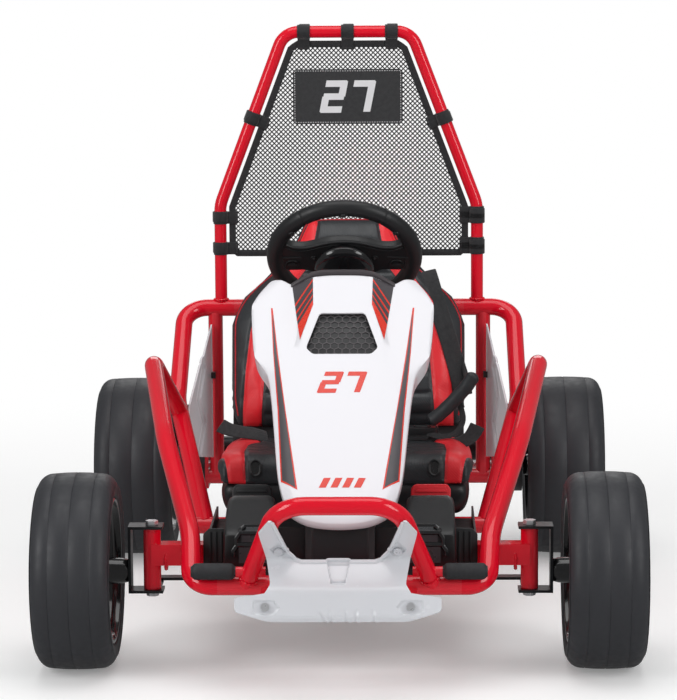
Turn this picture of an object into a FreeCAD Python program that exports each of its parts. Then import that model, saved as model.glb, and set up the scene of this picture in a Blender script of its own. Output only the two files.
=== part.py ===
"""Rolling chassis of a child's electric kart: tube frame, steering, seat, fairing and wheels.

Lengths are in millimetres and angles in degrees. +Z is up, the kart's front faces -Y and +X is
the driver's left. Stations are measured from the front axle; every sub-part is then placed so
that the origin is the middle of the kart's footprint, on the ground.
"""
import FreeCAD, Part
import math
import os

import Sketcher
from FreeCAD import Placement, Rotation, Vector

DIMS = {
    # Main stations
    "wheelbase": 800.0,
    "front_track": 748.0,
    "rear_track": 714.0,
    "shield_reach": 200.0,
    "floor_height": 137.0,
    # Wheels
    "front_tyre_od": 280.0,
    "front_tyre_width": 110.0,
    "front_seat_radius": 104.0,
    "rear_tyre_od": 296.0,
    "rear_tyre_width": 125.0,
    "rear_seat_radius": 110.0,
    "tyre_shoulder": 16.0,
    "rim_wall": 4.0,
    "rim_disc": 6.0,
    "rim_dish": 34.0,
    "hub_radius": 24.0,
    "hub_rise": 8.0,
    "hub_taper": 6.0,
    "hub_recess": 6.0,
    "lip_round": 1.5,
    "stub_radius": 6.0,
    "stub_nut": 11.4,
    "axle_radius": 8.0,
    "axle_nut": 14.4,
    "nut_depth": 8.0,
    "running_gap": 0.06,
    "free_gap": 0.3,
    # Tubes
    "main_tube": 12.7,
    "guard_tube": 14.0,
    "hoop_tube": 10.0,
    "post_tube": 12.0,
    "tube_wall": 1.8,
    # Cross tubes and side guards
    "cross_ahead": 85.0,
    "cross_half": 170.0,
    "guard_corner_half": 207.0,
    "guard_beam_half": 213.0,
    "guard_beam_height": 193.0,
    "guard_waist_half": 263.0,
    "guard_waist_behind": 200.0,
    "guard_waist_height": 297.0,
    "guard_top_half": 301.0,
    "guard_top_behind": 450.0,
    "guard_top_height": 375.0,
    "guard_corner_bend": 32.0,
    "guard_sweep_bend": 260.0,
    "guard_top_bend": 34.0,
    # Side rails and the bar behind the seat
    "hoop_behind": 760.0,
    "bar_height": 421.0,
    "bar_half": 190.0,
    "rail_corner_half": 272.0,
    "rail_knee_half": 275.0,
    "rail_knee_behind": 600.0,
    "rail_knee_height": 290.0,
    "rail_foot_half": 214.0,
    "rail_foot_behind": 340.0,
    "rail_corner_bend": 38.0,
    "rail_knee_bend": 120.0,
    "guard_joint_share": 0.1,
    # Floor frame
    "floor_rail_half": 150.0,
    "seat_cross_half": 228.0,
    "mid_cross_behind": 200.0,
    # Roll hoop and posts
    "post_half": 222.0,
    "hoop_foot_half": 212.0,
    "hoop_knee_height": 592.0,
    "hoop_top_half": 104.0,
    "hoop_top_height": 876.0,
    "hoop_knee_bend": 60.0,
    "hoop_top_bend": 34.0,
    # Front axle beam and kingpins
    "beam_height": 165.0,
    "beam_side": 30.0,
    "beam_wall": 2.5,
    "kingpin_half": 268.0,
    "kingpin_tube": 12.5,
    "kingpin_low": 114.5,
    "kingpin_high": 202.0,
    "kingpin_bolt": 5.0,
    "bolt_head": 9.0,
    "bolt_head_depth": 6.0,
    # Knuckles and tie rod
    "knuckle_plate": 4.0,
    "knuckle_outer": 33.0,
    "knuckle_inner": 16.0,
    "knuckle_width": 34.0,
    "arm_reach": 60.0,
    "arm_width": 22.0,
    "tie_width": 20.0,
    "tie_depth": 4.0,
    "tie_pin": 4.0,
    "tie_nut": 7.2,
    "tie_pin_tail": 5.0,
    "tie_plate_half": 14.0,
    "tie_plate_behind": 80.0,
    "tie_slot_low": 206.5,
    "tie_slot_high": 231.5,
    "tie_slot_margin": 6.0,
    "tie_slot_gap": 1.1,
    # Steering column and wheel
    "column_angle": 41.0,
    "wheel_behind": 400.0,
    "wheel_height": 546.0,
    "column_length": 482.0,
    "column_radius": 10.0,
    "crank_arm": 40.0,
    "crank_half": 12.0,
    "crank_thick": 8.0,
    "crank_pin": 4.0,
    "crank_pin_length": 31.0,
    "collar_radius": 17.0,
    "collar_length": 20.0,
    "low_collar": 55.0,
    "strut_height": 250.0,
    "strut_radius": 8.0,
    "hub_socket": 12.0,
    "wheel_radius": 106.0,
    "grip_radius": 14.0,
    "spoke_thick": 12.0,
    "spoke_half": 16.0,
    "boss_radius": 42.0,
    "boss_depth": 38.0,
    "boss_rise": 10.0,
    "horn_radius": 22.0,
    "horn_depth": 9.0,
    "horn_travel": 2.5,
    "horn_proud": 4.0,
    # Bumper
    "bumper_top_ahead": 182.0,
    "bumper_top_height": 268.0,
    "bumper_top_half": 82.0,
    "bumper_foot_half": 131.0,
    "bumper_bend": 52.0,
    "peg_radius": 7.0,
    "peg_ahead": 101.0,
    "peg_height": 160.0,
    "peg_end_half": 200.0,
    "sleeve_radius": 12.0,
    "sleeve_end": 6.0,
    "shield_thick": 4.0,
    "shield_bolt": 3.0,
    "shield_bolt_length": 16.0,
    "shield_top": 251.0,
    "shield_crease": 186.0,
    "shield_chin": 111.0,
    "shield_half": 144.0,
    "shield_waist_half": 93.0,
    "shield_notch_half": 57.0,
    "shield_belly_rise": 40.0,
    "shield_belly_back": 14.0,
    "shield_nose_rise": 5.0,
    "shield_lip_back": 6.0,
    "shield_lip_drop": 3.0,
    "shield_chin_rise": 3.0,
    "horn_width": 16.0,
    "horn_inset": 6.0,
    "horn_top_drop": 5.0,
    "horn_side_drop": 24.0,
    "shield_waist_rise": 47.0,
    "shield_ear_step": 7.0,
    "shield_ear_top": 35.0,
    "shield_ear_low": 17.0,
    "peg_overlap": 20.0,
    "tab_half": 9.0,
    "bracket_sheet": 3.0,
    "shield_low_bolt_half": 99.0,
    "shield_low_bolt_height": 129.0,
    "shield_high_bolt_half": 82.0,
    "shield_high_bolt_height": 202.0,
    # Pedals and foot wells
    "pedal_half": 129.0,
    "pedal_width": 58.0,
    "pedal_length": 86.0,
    "pedal_thick": 8.0,
    "pedal_behind": 62.0,
    "pedal_pin_height": 166.0,
    "pedal_lean": 12.0,
    "pedal_pin": 4.0,
    "guard_box_half": 36.0,
    "guard_box_ahead": 58.0,
    "guard_box_shelf": 205.0,
    "guard_box_high": 240.0,
    "guard_box_back": 36.0,
    "guard_box_skirt": 8.0,
    "pedal_ear_half": 12.0,
    "pedal_ear_rise": 9.0,
    "plastic_wall": 3.0,
    "tunnel_half": 49.0,
    "tunnel_ahead": 30.0,
    "tunnel_back": 110.0,
    "tub_half": 194.0,
    "tub_lip": 22.0,
    "tub_back": 312.0,
    # Hood
    "hood_low_ahead": 60.0,
    "hood_low_height": 217.0,
    "hood_length": 478.0,
    "hood_depth": 62.0,
    "hood_low_depth": 38.0,
    "hood_wall": 3.0,
    "hood_round": 10.0,
    "hood_lip_station": 18.0,
    "hood_flare": 10.0,
    "hood_flare_station": 80.0,
    "hood_waist_station": 300.0,
    "hood_lobe_station": 398.0,
    "hood_shoulder_drop": 20.0,
    "hood_skirt_share": 0.6,
    "hood_lip_half": 58.0,
    "hood_low_half": 78.0,
    "hood_waist_half": 110.0,
    "hood_lobe_half": 136.0,
    "hood_shoulder_half": 105.0,
    "hood_brow_half": 46.0,
    "trim_thick": 8.0,
    "trim_width": 4.0,
    "trim_side_drop": 14.0,
    # Seat
    "seat_half": 200.0,
    "seat_base_length": 291.0,
    "seat_crease_ahead": 34.0,
    "seat_to_hoop": 124.0,
    "seat_front_height": 214.0,
    "seat_crease_height": 196.0,
    "seat_shell_wall": 5.0,
    "cushion_thick": 42.0,
    "cushion_nose": 6.0,
    "cushion_nose_back": 8.0,
    "backrest_lean": 17.0,
    "backrest_foot": 46.0,
    "backrest_length": 388.0,
    "backrest_shoulder": 215.0,
    "shoulder_in": 20.0,
    "shoulder_rise": 42.0,
    "backrest_thick": 45.0,
    "head_half": 80.0,
    "head_flare": 12.0,
    "head_drop": 32.0,
    "shell_inset": 12.0,
    "mount_block": 20.0,
    "mount_front_half": 112.0,
    "mount_upper_half": 96.0,
    # Battery and drive
    "battery_half": 132.0,
    "battery_front": 410.0,
    "battery_back": 570.0,
    "battery_low": 108.0,
    "battery_high": 182.0,
    "bracket_half": 236.0,
    "bracket_plate": 6.0,
    "gearbox_inner": 242.5,
    "gearbox_outer": 288.0,
    "gearbox_radius": 44.0,
    "motor_behind": 52.0,
    "motor_rise": 20.0,
    "motor_radius": 21.0,
    "motor_length": 66.0,
    "flange_over": 6.0,
    "flange_in": 10.0,
    "axle_bracket_ahead": 12.0,
    "axle_bracket_drop": 30.0,
    "axle_bracket_back": 16.0,
    "axle_bracket_rise": 26.0,
    "gearbox_tail_wall": 7.0,
    "gearbox_neck_drop": 12.0,
    "gearbox_neck_rise": 20.0,
    # Soft goods
    "net_thick": 3.0,
    "net_gap": 7.0,
    "net_low": 509.0,
    "net_corner": 6.0,
    "net_sag": 6.0,
    "top_strap_half": 72.0,
    "strap_width": 14.0,
    "webbing": 28.0,
    "webbing_thick": 3.0,
    "lap_low_rise": 6.0,
    "lap_reach_left": 146.0,
    "lap_reach_right": 120.0,
    "buckle_inner": 94.0,
    "buckle_half": 16.0,
    "buckle_depth": 15.0,
    "buckle_round": 5.0,
    "shoulder_strap_half": 190.0,
    "shoulder_strap_drop": 150.0,
    "shoulder_strap_bend": 30.0,
    "shoulder_strap_end_half": 150.0,
    "shoulder_strap_end_rise": 52.0,
    "soft_gap": 0.5,
    "lap_ahead": 106.0,
    # Side panels
    "panel_thick": 3.0,
    "panel_rear_half": 229.0,
    "panel_turn": 11.5,
    "panel_low": 172.0,
    "panel_length": 131.0,
    "panel_ahead": 18.0,
    "panel_top_drop": 26.0,
    "panel_tip_drop": 8.0,
    "panel_nose": 11.0,
    "panel_nose_drop": 40.0,
    "panel_low_rise": 24.0,
    "clip_height": 305.4,
    "clip_width": 10.0,
}

NET_STRAP_HEIGHTS = (735.0, 571.0, 520.0)
SIDES = {"left": 1, "right": -1}


class Size:
    """A length that carries its value and the sheet expression that drives it."""

    def __init__(self, value, text):
        self.value = float(value)
        self.text = text

    def join(self, other, sign, value, swap=False):
        other_text = other.text if isinstance(other, Size) else repr(float(other))
        first, second = (other_text, self.text) if swap else (self.text, other_text)
        return Size(value, f"({first} {sign} {second})")

    def __float__(self):
        return self.value

    def __add__(self, other):
        return self.join(other, "+", self.value + float(other))

    def __radd__(self, other):
        return self.join(other, "+", float(other) + self.value, swap=True)

    def __sub__(self, other):
        return self.join(other, "-", self.value - float(other))

    def __rsub__(self, other):
        return self.join(other, "-", float(other) - self.value, swap=True)

    def __mul__(self, other):
        return self.join(other, "*", self.value * float(other))

    __rmul__ = __mul__

    def __truediv__(self, other):
        return self.join(other, "/", self.value / float(other))

    def __neg__(self):
        return self * -1


doc = FreeCAD.newDocument("kart_chassis")
sheet = doc.addObject("Spreadsheet::Sheet", "Dims")
for row, (alias, value) in enumerate(DIMS.items(), start=1):
    sheet.set(f"B{row}", str(value))
    sheet.setAlias(f"B{row}", alias)
doc.recompute()
D = {alias: Size(sheet.get(alias), f"Dims.{alias}") for alias in DIMS}

front_y = (D["shield_reach"] - D["wheelbase"] - D["rear_tyre_od"] / 2) / 2
front_axle_z = D["front_tyre_od"] / 2
rear_axle_z = D["rear_tyre_od"] / 2
column_sin = math.sin(math.radians(float(D["column_angle"])))
column_cos = math.cos(math.radians(float(D["column_angle"])))
COLUMN = Vector(0, column_cos, column_sin)
COLUMN_TURN = Rotation(Vector(0, 0, 1), COLUMN)
HOME = (0, front_y, 0)
parts = []


# ---------------------------------------------------------------- document helpers
def bind(item, prop, size):
    """Set a property, and drive it from the sheet where the size comes from there."""
    if isinstance(size, Size):
        item.setExpression(prop, size.text)
    else:
        setattr(item, prop, size)


def place(item, at=(0, 0, 0), turn=None):
    """Put an object at a place whose coordinates may be driven sizes."""
    item.Placement = Placement(Vector(*[float(value) for value in at]), turn or Rotation())
    for axis, size in zip("xyz", at):
        if isinstance(size, Size):
            item.setExpression(f"Placement.Base.{axis}", size.text)
    return item


def finish(item, label, at=HOME, turn=None):
    """Name a sub-part and put it in the kart's own frame."""
    place(item, at, turn)
    item.Label = label
    parts.append(item)
    return item


def primitive(kind, name, at=(0, 0, 0), turn=None, **sizes):
    """A Part primitive with driven sizes."""
    item = doc.addObject("Part::" + kind, name)
    for prop, size in sizes.items():
        bind(item, prop, size)
    return place(item, at, turn)


def box(name, low, high):
    """A Part::Box between two corners."""
    spans = [top - bottom for bottom, top in zip(low, high)]
    return primitive("Box", name, low, Length=spans[0], Width=spans[1], Height=spans[2])


def cylinder(name, at, radius, length, turn=None):
    return primitive("Cylinder", name, at, turn, Radius=radius, Height=length)


def hexagon(name, at, radius, length, turn=None):
    return primitive("Prism", name, at, turn, Polygon=6, Circumradius=radius, Height=length)


def fuse(name, *items):
    joined = doc.addObject("Part::MultiFuse", name)
    joined.Shapes = list(items)
    return joined


def cut(name, base, *tools):
    tool = tools[0] if len(tools) == 1 else fuse(name + "_tools", *tools)
    result = doc.addObject("Part::Cut", name)
    result.Base = base
    result.Tool = tool
    return result


def group(name, *items):
    result = doc.addObject("Part::Compound", name)
    result.Links = list(items)
    return result


def mirrored(name, item):
    """The other side's copy of an object, across the kart's middle plane."""
    result = doc.addObject("Part::Mirroring", name)
    result.Source = item
    result.Normal = Vector(1, 0, 0)
    return result


def point(x, y, z):
    return Vector(float(x), float(y), float(z))


def route(points, bends):
    """A wire of straight runs with a tangent arc at each inner point."""
    edges = []
    start = points[0]
    for before, corner, after, bend in zip(points, points[1:], points[2:], bends):
        arriving = (corner - before).normalize()
        leaving = (after - corner).normalize()
        half_turn = arriving.getAngle(leaving) / 2
        reach = float(bend) * math.tan(half_turn)
        first = corner - arriving * reach
        last = corner + leaving * reach
        inward = (leaving - arriving).normalize()
        middle = corner + inward * (float(bend) / math.cos(half_turn) - float(bend))
        edges.append(Part.LineSegment(start, first).toShape())
        edges.append(Part.Arc(first, middle, last).toShape())
        start = last
    edges.append(Part.LineSegment(start, points[-1]).toShape())
    return Part.Wire(edges)


def swept(name, spine, radius, start, heading):
    """A round bar of a driven radius along a spine."""
    section = doc.addObject("Part::Circle", name + "_section")
    bind(section, "Radius", radius)
    section.Placement = Placement(start, Rotation(Vector(0, 0, 1), heading))
    bar = doc.addObject("Part::Sweep", name)
    bar.Sections = [section]
    bar.Spine = (spine, [f"Edge{count + 1}" for count in range(len(spine.Shape.Edges))])
    bar.Solid = True
    bar.Frenet = False
    return bar


def bent_tube(name, points, bends, radius, hosts=()):
    """A hollow bent tube, coped to the tubes that it is welded to.

    Returns the finished tube and its solid outside, which cuts the ends of the tubes that
    are welded to this one.
    """
    spine = doc.addObject("Part::Feature", name + "_spine")
    spine.Shape = route(points, bends)
    heading = points[1] - points[0]
    outside = swept(name + "_outside", spine, radius, points[0], heading)
    inside = swept(name + "_inside", spine, radius - D["tube_wall"], points[0], heading)
    hollow = cut(name + "_hollow", outside, inside)
    return (cut(name + "_coped", hollow, *hosts) if hosts else hollow), outside


def new_body(name):
    return doc.addObject("PartDesign::Body", name)


def outline(body, name, plane, points, offset=0.0):
    """A closed outline on a plane of the body, each corner held by its own two sizes."""
    sketch = body.newObject("Sketcher::SketchObject", name)
    support = next(item for item in body.Origin.OriginFeatures if item.Role == plane)
    sketch.AttachmentSupport = (support, [""])
    sketch.MapMode = "FlatFace"
    sketch.AttachmentOffset = Placement(Vector(0, 0, float(offset)), Rotation())
    if isinstance(offset, Size):
        sketch.setExpression("AttachmentOffset.Base.z", offset.text)
    corners = [Vector(float(x), float(y), 0) for x, y in points]
    for start, end in zip(corners, corners[1:] + corners[:1]):
        sketch.addGeometry(Part.LineSegment(start, end))
    for count in range(len(corners)):
        after = (count + 1) % len(corners)
        sketch.addConstraint(Sketcher.Constraint("Coincident", count, 2, after, 1))
    for count, (x, y) in enumerate(points):
        for kind, axis, size in (("DistanceX", -2, x), ("DistanceY", -1, y)):
            if float(size) == 0.0:
                sketch.addConstraint(Sketcher.Constraint("PointOnObject", count, 1, axis))
                continue
            held = Sketcher.Constraint(kind, -1, 1, count, 1, float(size))
            index = sketch.addConstraint(held)
            if isinstance(size, Size):
                sketch.setExpression(f"Constraints[{index}]", size.text)
    return sketch


def pad(body, name, sketch, length, midplane=False):
    feature = body.newObject("PartDesign::Pad", name)
    feature.Profile = sketch
    bind(feature, "Length", length)
    feature.Midplane = midplane
    return feature


def pocket(body, name, sketch, length=None, backwards=False):
    """A pocket of a driven depth, or through everything both ways."""
    feature = body.newObject("PartDesign::Pocket", name)
    feature.Profile = sketch
    if length is None:
        feature.Type = 1
        feature.Midplane = True
    else:
        bind(feature, "Length", length)
        feature.Reversed = backwards
    return feature


def revolve(body, name, sketch, axis="H_Axis"):
    feature = body.newObject("PartDesign::Revolution", name)
    feature.Profile = sketch
    feature.ReferenceAxis = (sketch, [axis])
    feature.Angle = 360
    return feature


def round_edges(body, name, radius, wanted):
    """Fillet the body's edges that a test picks."""
    doc.recompute()
    base = body.Tip
    names = [f"Edge{count + 1}" for count, edge in enumerate(base.Shape.Edges) if wanted(edge)]
    feature = body.newObject("PartDesign::Fillet", name)
    feature.Base = (base, names)
    bind(feature, "Radius", radius)
    return feature


def both_sides(points):
    """A closed outline from its right half, listed from one end of the middle line."""
    return points + [(-x, y) for x, y in reversed(points) if float(x) != 0.0]


# ---------------------------------------------------------------- wheels
def tyre(name, width, outside, seat, at, label):
    """A plain foam tyre with rounded shoulders, seated on its rim."""
    body = new_body(name)
    half = width / 2
    bead = seat + D["free_gap"]
    profile = outline(body, name + "_profile", "XY_Plane",
                      [(-half, bead), (half, bead), (half, outside), (-half, outside)])
    revolve(body, name + "_turned", profile)
    round_edges(body, name + "_shoulders", D["tyre_shoulder"],
                lambda edge: edge.BoundBox.ZLength > 2 * float(outside) - 1
                and edge.BoundBox.XLength < 1)
    return finish(body, label, at)


def rim(name, side, width, seat, hub_in, bore, at, label):
    """A dished rim: barrel with lips, disc near the outer face, and hub."""
    body = new_body(name)
    half = width / 2 - 2.0
    wall = D["rim_wall"]
    disc = half - D["rim_dish"]
    hub_out = disc + D["hub_rise"]
    points = [
        (-half, seat - wall),
        (-half, seat),
        (half, seat),
        (half, seat - wall),
        (disc + D["rim_disc"], seat - wall),
        (disc + D["rim_disc"] / 2, D["hub_radius"]),
        (hub_out, D["hub_radius"] - D["hub_rise"] / 2),
        (hub_out, bore),
        (-hub_in, bore),
        (-hub_in, D["hub_radius"] - D["hub_taper"]),
        (disc, D["hub_radius"]),
        (disc, seat - wall),
    ]
    profile = outline(body, name + "_profile", "XY_Plane", [(x * side, y) for x, y in points])
    revolve(body, name + "_turned", profile)
    round_edges(body, name + "_lips", D["lip_round"],
                lambda edge: edge.BoundBox.ZLength > 2 * float(seat) - 2 * float(wall) - 1
                and edge.BoundBox.XLength < 1
                and abs(abs(edge.BoundBox.XMin) - float(half)) < 0.01)
    return finish(body, label, at)


def wheels():
    front_width = D["front_tyre_width"]
    rear_width = D["rear_tyre_width"]
    knuckle_face = D["kingpin_half"] + D["knuckle_outer"] + D["free_gap"]
    front_hub = D["front_track"] / 2 - knuckle_face
    rear_hub = D["rear_track"] / 2 - D["gearbox_outer"] - 2.0
    for word, side in SIDES.items():
        front_at = (D["front_track"] / 2 * side, front_y, front_axle_z)
        rear_at = (D["rear_track"] / 2 * side, front_y + D["wheelbase"], rear_axle_z)
        tyre(f"FrontTyre{word}", front_width, D["front_tyre_od"] / 2, D["front_seat_radius"],
             front_at, f"front_tyre_{word}")
        rim(f"FrontRim{word}", side, front_width, D["front_seat_radius"], front_hub,
            D["stub_radius"] + D["running_gap"], front_at, f"front_rim_{word}")
        tyre(f"RearTyre{word}", rear_width, D["rear_tyre_od"] / 2, D["rear_seat_radius"],
             rear_at, f"rear_tyre_{word}")
        rim(f"RearRim{word}", side, rear_width, D["rear_seat_radius"], rear_hub,
            D["axle_radius"] + D["running_gap"], rear_at, f"rear_rim_{word}")


# ---------------------------------------------------------------- tube frame
def straight_tube(name, start, end, radius, hosts=()):
    return bent_tube(name, [point(*start), point(*end)], [], radius, hosts)


def across(name, half, y, z, radius, hosts=()):
    """A straight tube across the kart, from side to side."""
    return straight_tube(name, (-half, y, z), (half, y, z), radius, hosts)


def floor_frame():
    """The flat frame under the floor and the seat. Returns the outsides that others meet."""
    floor = D["floor_height"]
    main = D["main_tube"]
    front_y_station = -D["cross_ahead"]
    seat_y = D["rail_foot_behind"]
    rear_y = D["hoop_behind"]
    cross, cross_out = across("FrontCross", D["cross_half"], front_y_station, floor,
                              D["guard_tube"])
    finish(cross, "front_cross_tube")
    seat_cross, seat_out = across("SeatCross", D["seat_cross_half"], seat_y, floor, main)
    rear_half = D["bracket_half"] + D["bracket_plate"]
    rear_cross, rear_out = across("RearCross", rear_half, rear_y, floor, main)
    tubes = [seat_cross, rear_cross]
    rails_out = []
    for word, side in SIDES.items():
        half = D["floor_rail_half"] * side
        for stretch, start, end, hosts in (("Fore", front_y_station, seat_y, [cross_out, seat_out]),
                                           ("Aft", seat_y, rear_y, [seat_out, rear_out])):
            rail, rail_out = straight_tube(f"FloorRail{stretch}{word}", (half, start, floor),
                                           (half, end, floor), main, hosts)
            tubes.append(rail)
            rails_out.append(rail_out)
    middle, middle_out = across("MidCross", D["floor_rail_half"], D["mid_cross_behind"], floor,
                                main, rails_out)
    finish(group("FloorFrame", *tubes, middle), "floor_frame")
    return {"cross": cross_out, "seat": seat_out, "rear": rear_out, "middle": middle_out,
            "rails": rails_out}


def upper_frame(welds):
    """Side rails, side guards, the bar behind the seat, posts and roll hoop."""
    floor = D["floor_height"]
    hoop_y = D["hoop_behind"]
    bar_z = D["bar_height"]
    bar, welds["bar"] = across("SeatBar", D["bar_half"], hoop_y, bar_z, D["guard_tube"])
    finish(bar, "seat_back_bar")

    foot = point(-D["rail_foot_half"], D["rail_foot_behind"], floor)
    knee = point(-D["rail_knee_half"], D["rail_knee_behind"], D["rail_knee_height"])
    corner = point(-D["rail_corner_half"], hoop_y, bar_z)
    rail, rail_out = bent_tube("SideRail", [point(-D["bar_half"], hoop_y, bar_z), corner, knee, foot],
                               [D["rail_corner_bend"], D["rail_knee_bend"]], D["guard_tube"],
                               [welds["seat"]])
    side = D["beam_side"] / 2
    welds["beam"] = box("BeamOutside", (-D["kingpin_half"], -side, D["beam_height"] - side),
                        (D["kingpin_half"], side, D["beam_height"] + side))
    joint = knee + (foot - knee) * float(D["guard_joint_share"])
    guard, _ = bent_tube(
        "SideGuard",
        [point(-D["cross_half"], -D["cross_ahead"], floor),
         point(-D["guard_corner_half"], -D["cross_ahead"], floor),
         point(-D["guard_beam_half"], 0, D["guard_beam_height"]),
         point(-D["guard_waist_half"], D["guard_waist_behind"], D["guard_waist_height"]),
         point(-D["guard_top_half"], D["guard_top_behind"], D["guard_top_height"]),
         joint],
        [D["guard_corner_bend"], D["guard_sweep_bend"], D["guard_sweep_bend"],
         D["guard_top_bend"]],
        D["guard_tube"], [rail_out, welds["beam"]])
    for name, tube in (("side_rail", rail), ("side_guard", guard)):
        finish(tube, name + "_right")
        finish(mirrored(name + "_copy", tube), name + "_left", (0, 0, 0))

    rail_twin = mirrored("SideRailTwin", rail_out)
    welds["side_rail"] = rail_out
    post, welds["post"] = straight_tube("Post", (-D["post_half"], hoop_y, floor),
                                        (-D["post_half"], hoop_y, bar_z), D["post_tube"],
                                        [welds["rear"], rail_out])
    finish(group("HoopPosts", post, mirrored("PostTwin", post)), "hoop_posts")
    half_hoop = [(D["hoop_foot_half"], bar_z), (D["hoop_foot_half"], D["hoop_knee_height"]),
                 (D["hoop_top_half"], D["hoop_top_height"])]
    ring = [point(-x, hoop_y, z) for x, z in half_hoop]
    ring += [point(x, hoop_y, z) for x, z in reversed(half_hoop)]
    bends = [D["hoop_knee_bend"], D["hoop_top_bend"]]
    hoop, _ = bent_tube("RollHoop", ring, bends + bends[::-1], D["hoop_tube"],
                        [rail_out, rail_twin])
    finish(hoop, "roll_hoop")


def front_axle(welds):
    """Square beam with a bored kingpin tube at each end, and the kingpin bolts."""
    inner = D["beam_side"] / 2 - D["beam_wall"]
    reach = D["kingpin_half"] - D["kingpin_tube"]
    hollow = box("BeamInside", (-reach, -inner, D["beam_height"] - inner),
                 (reach, inner, D["beam_height"] + inner))
    height = D["kingpin_high"] - D["kingpin_low"]
    tubes, bores, bolts = [], [], []
    gap = D["free_gap"]
    plate = D["knuckle_plate"]
    top = D["kingpin_high"] + gap * 2 + plate
    bottom = D["kingpin_low"] - gap * 2 - plate
    for word, side in SIDES.items():
        x = D["kingpin_half"] * side
        low = D["kingpin_low"]
        tubes.append(cylinder(f"KingpinTube{word}", (x, 0, low), D["kingpin_tube"], height))
        bores.append(cylinder(f"KingpinBore{word}", (x, 0, low),
                              D["kingpin_bolt"] + D["running_gap"], height))
        depth = D["bolt_head_depth"]
        bolts.append(fuse(
            f"KingpinBolt{word}",
            hexagon(f"KingpinHead{word}", (x, 0, top), D["bolt_head"], depth),
            cylinder(f"KingpinShank{word}", (x, 0, bottom - depth), D["kingpin_bolt"],
                     top - bottom + depth),
            hexagon(f"KingpinNut{word}", (x, 0, bottom - depth), D["bolt_head"], depth)))
    beam = cut("AxleBeam", fuse("AxleBeamSolid", welds["beam"], *tubes), hollow, *bores)
    finish(beam, "front_axle_beam")
    finish(group("KingpinBolts", *bolts), "kingpin_bolts")


# ---------------------------------------------------------------- steering
def knuckles():
    """C-shaped knuckles with a stub axle, a steering arm and its pin."""
    king = D["kingpin_half"]
    gap = D["free_gap"]
    plate = D["knuckle_plate"]
    half = D["knuckle_width"] / 2
    inner = king - D["knuckle_inner"]
    outer = king + D["knuckle_outer"]
    low_top = D["kingpin_low"] - gap
    high_low = D["kingpin_high"] + gap
    arm_half = D["arm_width"] / 2
    reach = D["arm_reach"]
    tie_top = low_top + gap + D["tie_depth"]
    hub_out = D["front_track"] / 2 + D["front_tyre_width"] / 2 + D["hub_recess"] - D["rim_dish"]
    nut_depth = D["nut_depth"]
    turn = Rotation(Vector(0, 0, 1), Vector(1, 0, 0))
    solid = fuse(
        "KnuckleSolid",
        box("KnuckleTop", (inner, -half, high_low), (outer, half, high_low + plate)),
        box("KnuckleBottom", (inner, -half, low_top - plate), (outer, half, low_top)),
        box("KnuckleWeb", (outer - plate, -half, low_top - plate), (outer, half, high_low + plate)),
        box("KnuckleArm", (king - arm_half, 0, low_top - plate), (king + arm_half, reach, low_top)),
        cylinder("KnuckleArmEnd", (king, reach, low_top - plate), arm_half, plate),
        cylinder("TiePin", (king, reach, low_top - plate), D["tie_pin"],
                 tie_top - low_top + plate + gap + D["tie_pin_tail"]),
        hexagon("TieNut", (king, reach, tie_top + gap), D["tie_nut"], D["tie_depth"]),
        cylinder("StubAxle", (outer - plate, 0, front_axle_z), D["stub_radius"],
                 hub_out + nut_depth + 3.0 - outer + plate, turn))
    hole = cylinder("KingpinHole", (king, 0, low_top - plate), D["kingpin_bolt"] + D["running_gap"],
                    high_low + plate * 2 - low_top)
    nut = cut("StubNut",
              hexagon("StubNutHex", (hub_out + gap, 0, front_axle_z), D["stub_nut"],
                      nut_depth, turn),
              cylinder("StubNutBore", (hub_out + gap, 0, front_axle_z),
                       D["stub_radius"] + D["running_gap"], nut_depth, turn))
    left = group("Knuckle", cut("KnuckleDrilled", solid, hole), nut)
    finish(left, "knuckle_left")
    finish(mirrored("KnuckleRight", left), "knuckle_right", (0, 0, 0))


def tie_rod():
    """Flat bar between the steering arms, with an upright slotted plate in the middle."""
    reach = D["arm_reach"]
    half = D["tie_width"] / 2
    low = D["kingpin_low"]
    top = low + D["tie_depth"]
    king = D["kingpin_half"]
    plate = D["tie_plate_half"]
    back = D["tie_plate_behind"] + D["tie_depth"] / 2
    holes = [cylinder(f"TieHole{word}", (king * side, reach, low), D["tie_pin"] + D["free_gap"],
                      D["tie_depth"]) for word, side in SIDES.items()]
    ends = [cylinder(f"TieEnd{word}", (king * side, reach, low), half, D["tie_depth"])
            for word, side in SIDES.items()]
    bar = fuse(
        "TieBarSolid",
        box("TieBar", (-king, reach - half, low), (king, reach + half, top)),
        box("TieFoot", (-plate, reach, low), (plate, back, top)),
        box("TiePlate", (-plate, back - D["tie_depth"], low),
            (plate, back, D["tie_slot_high"] + D["tie_slot_margin"])),
        *ends)
    side = D["crank_pin"] + D["tie_slot_gap"]
    slot = box("TieSlot", (-side, reach, D["tie_slot_low"]), (side, back, D["tie_slot_high"]))
    finish(cut("TieRod", bar, slot, *holes), "tie_rod")


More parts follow.
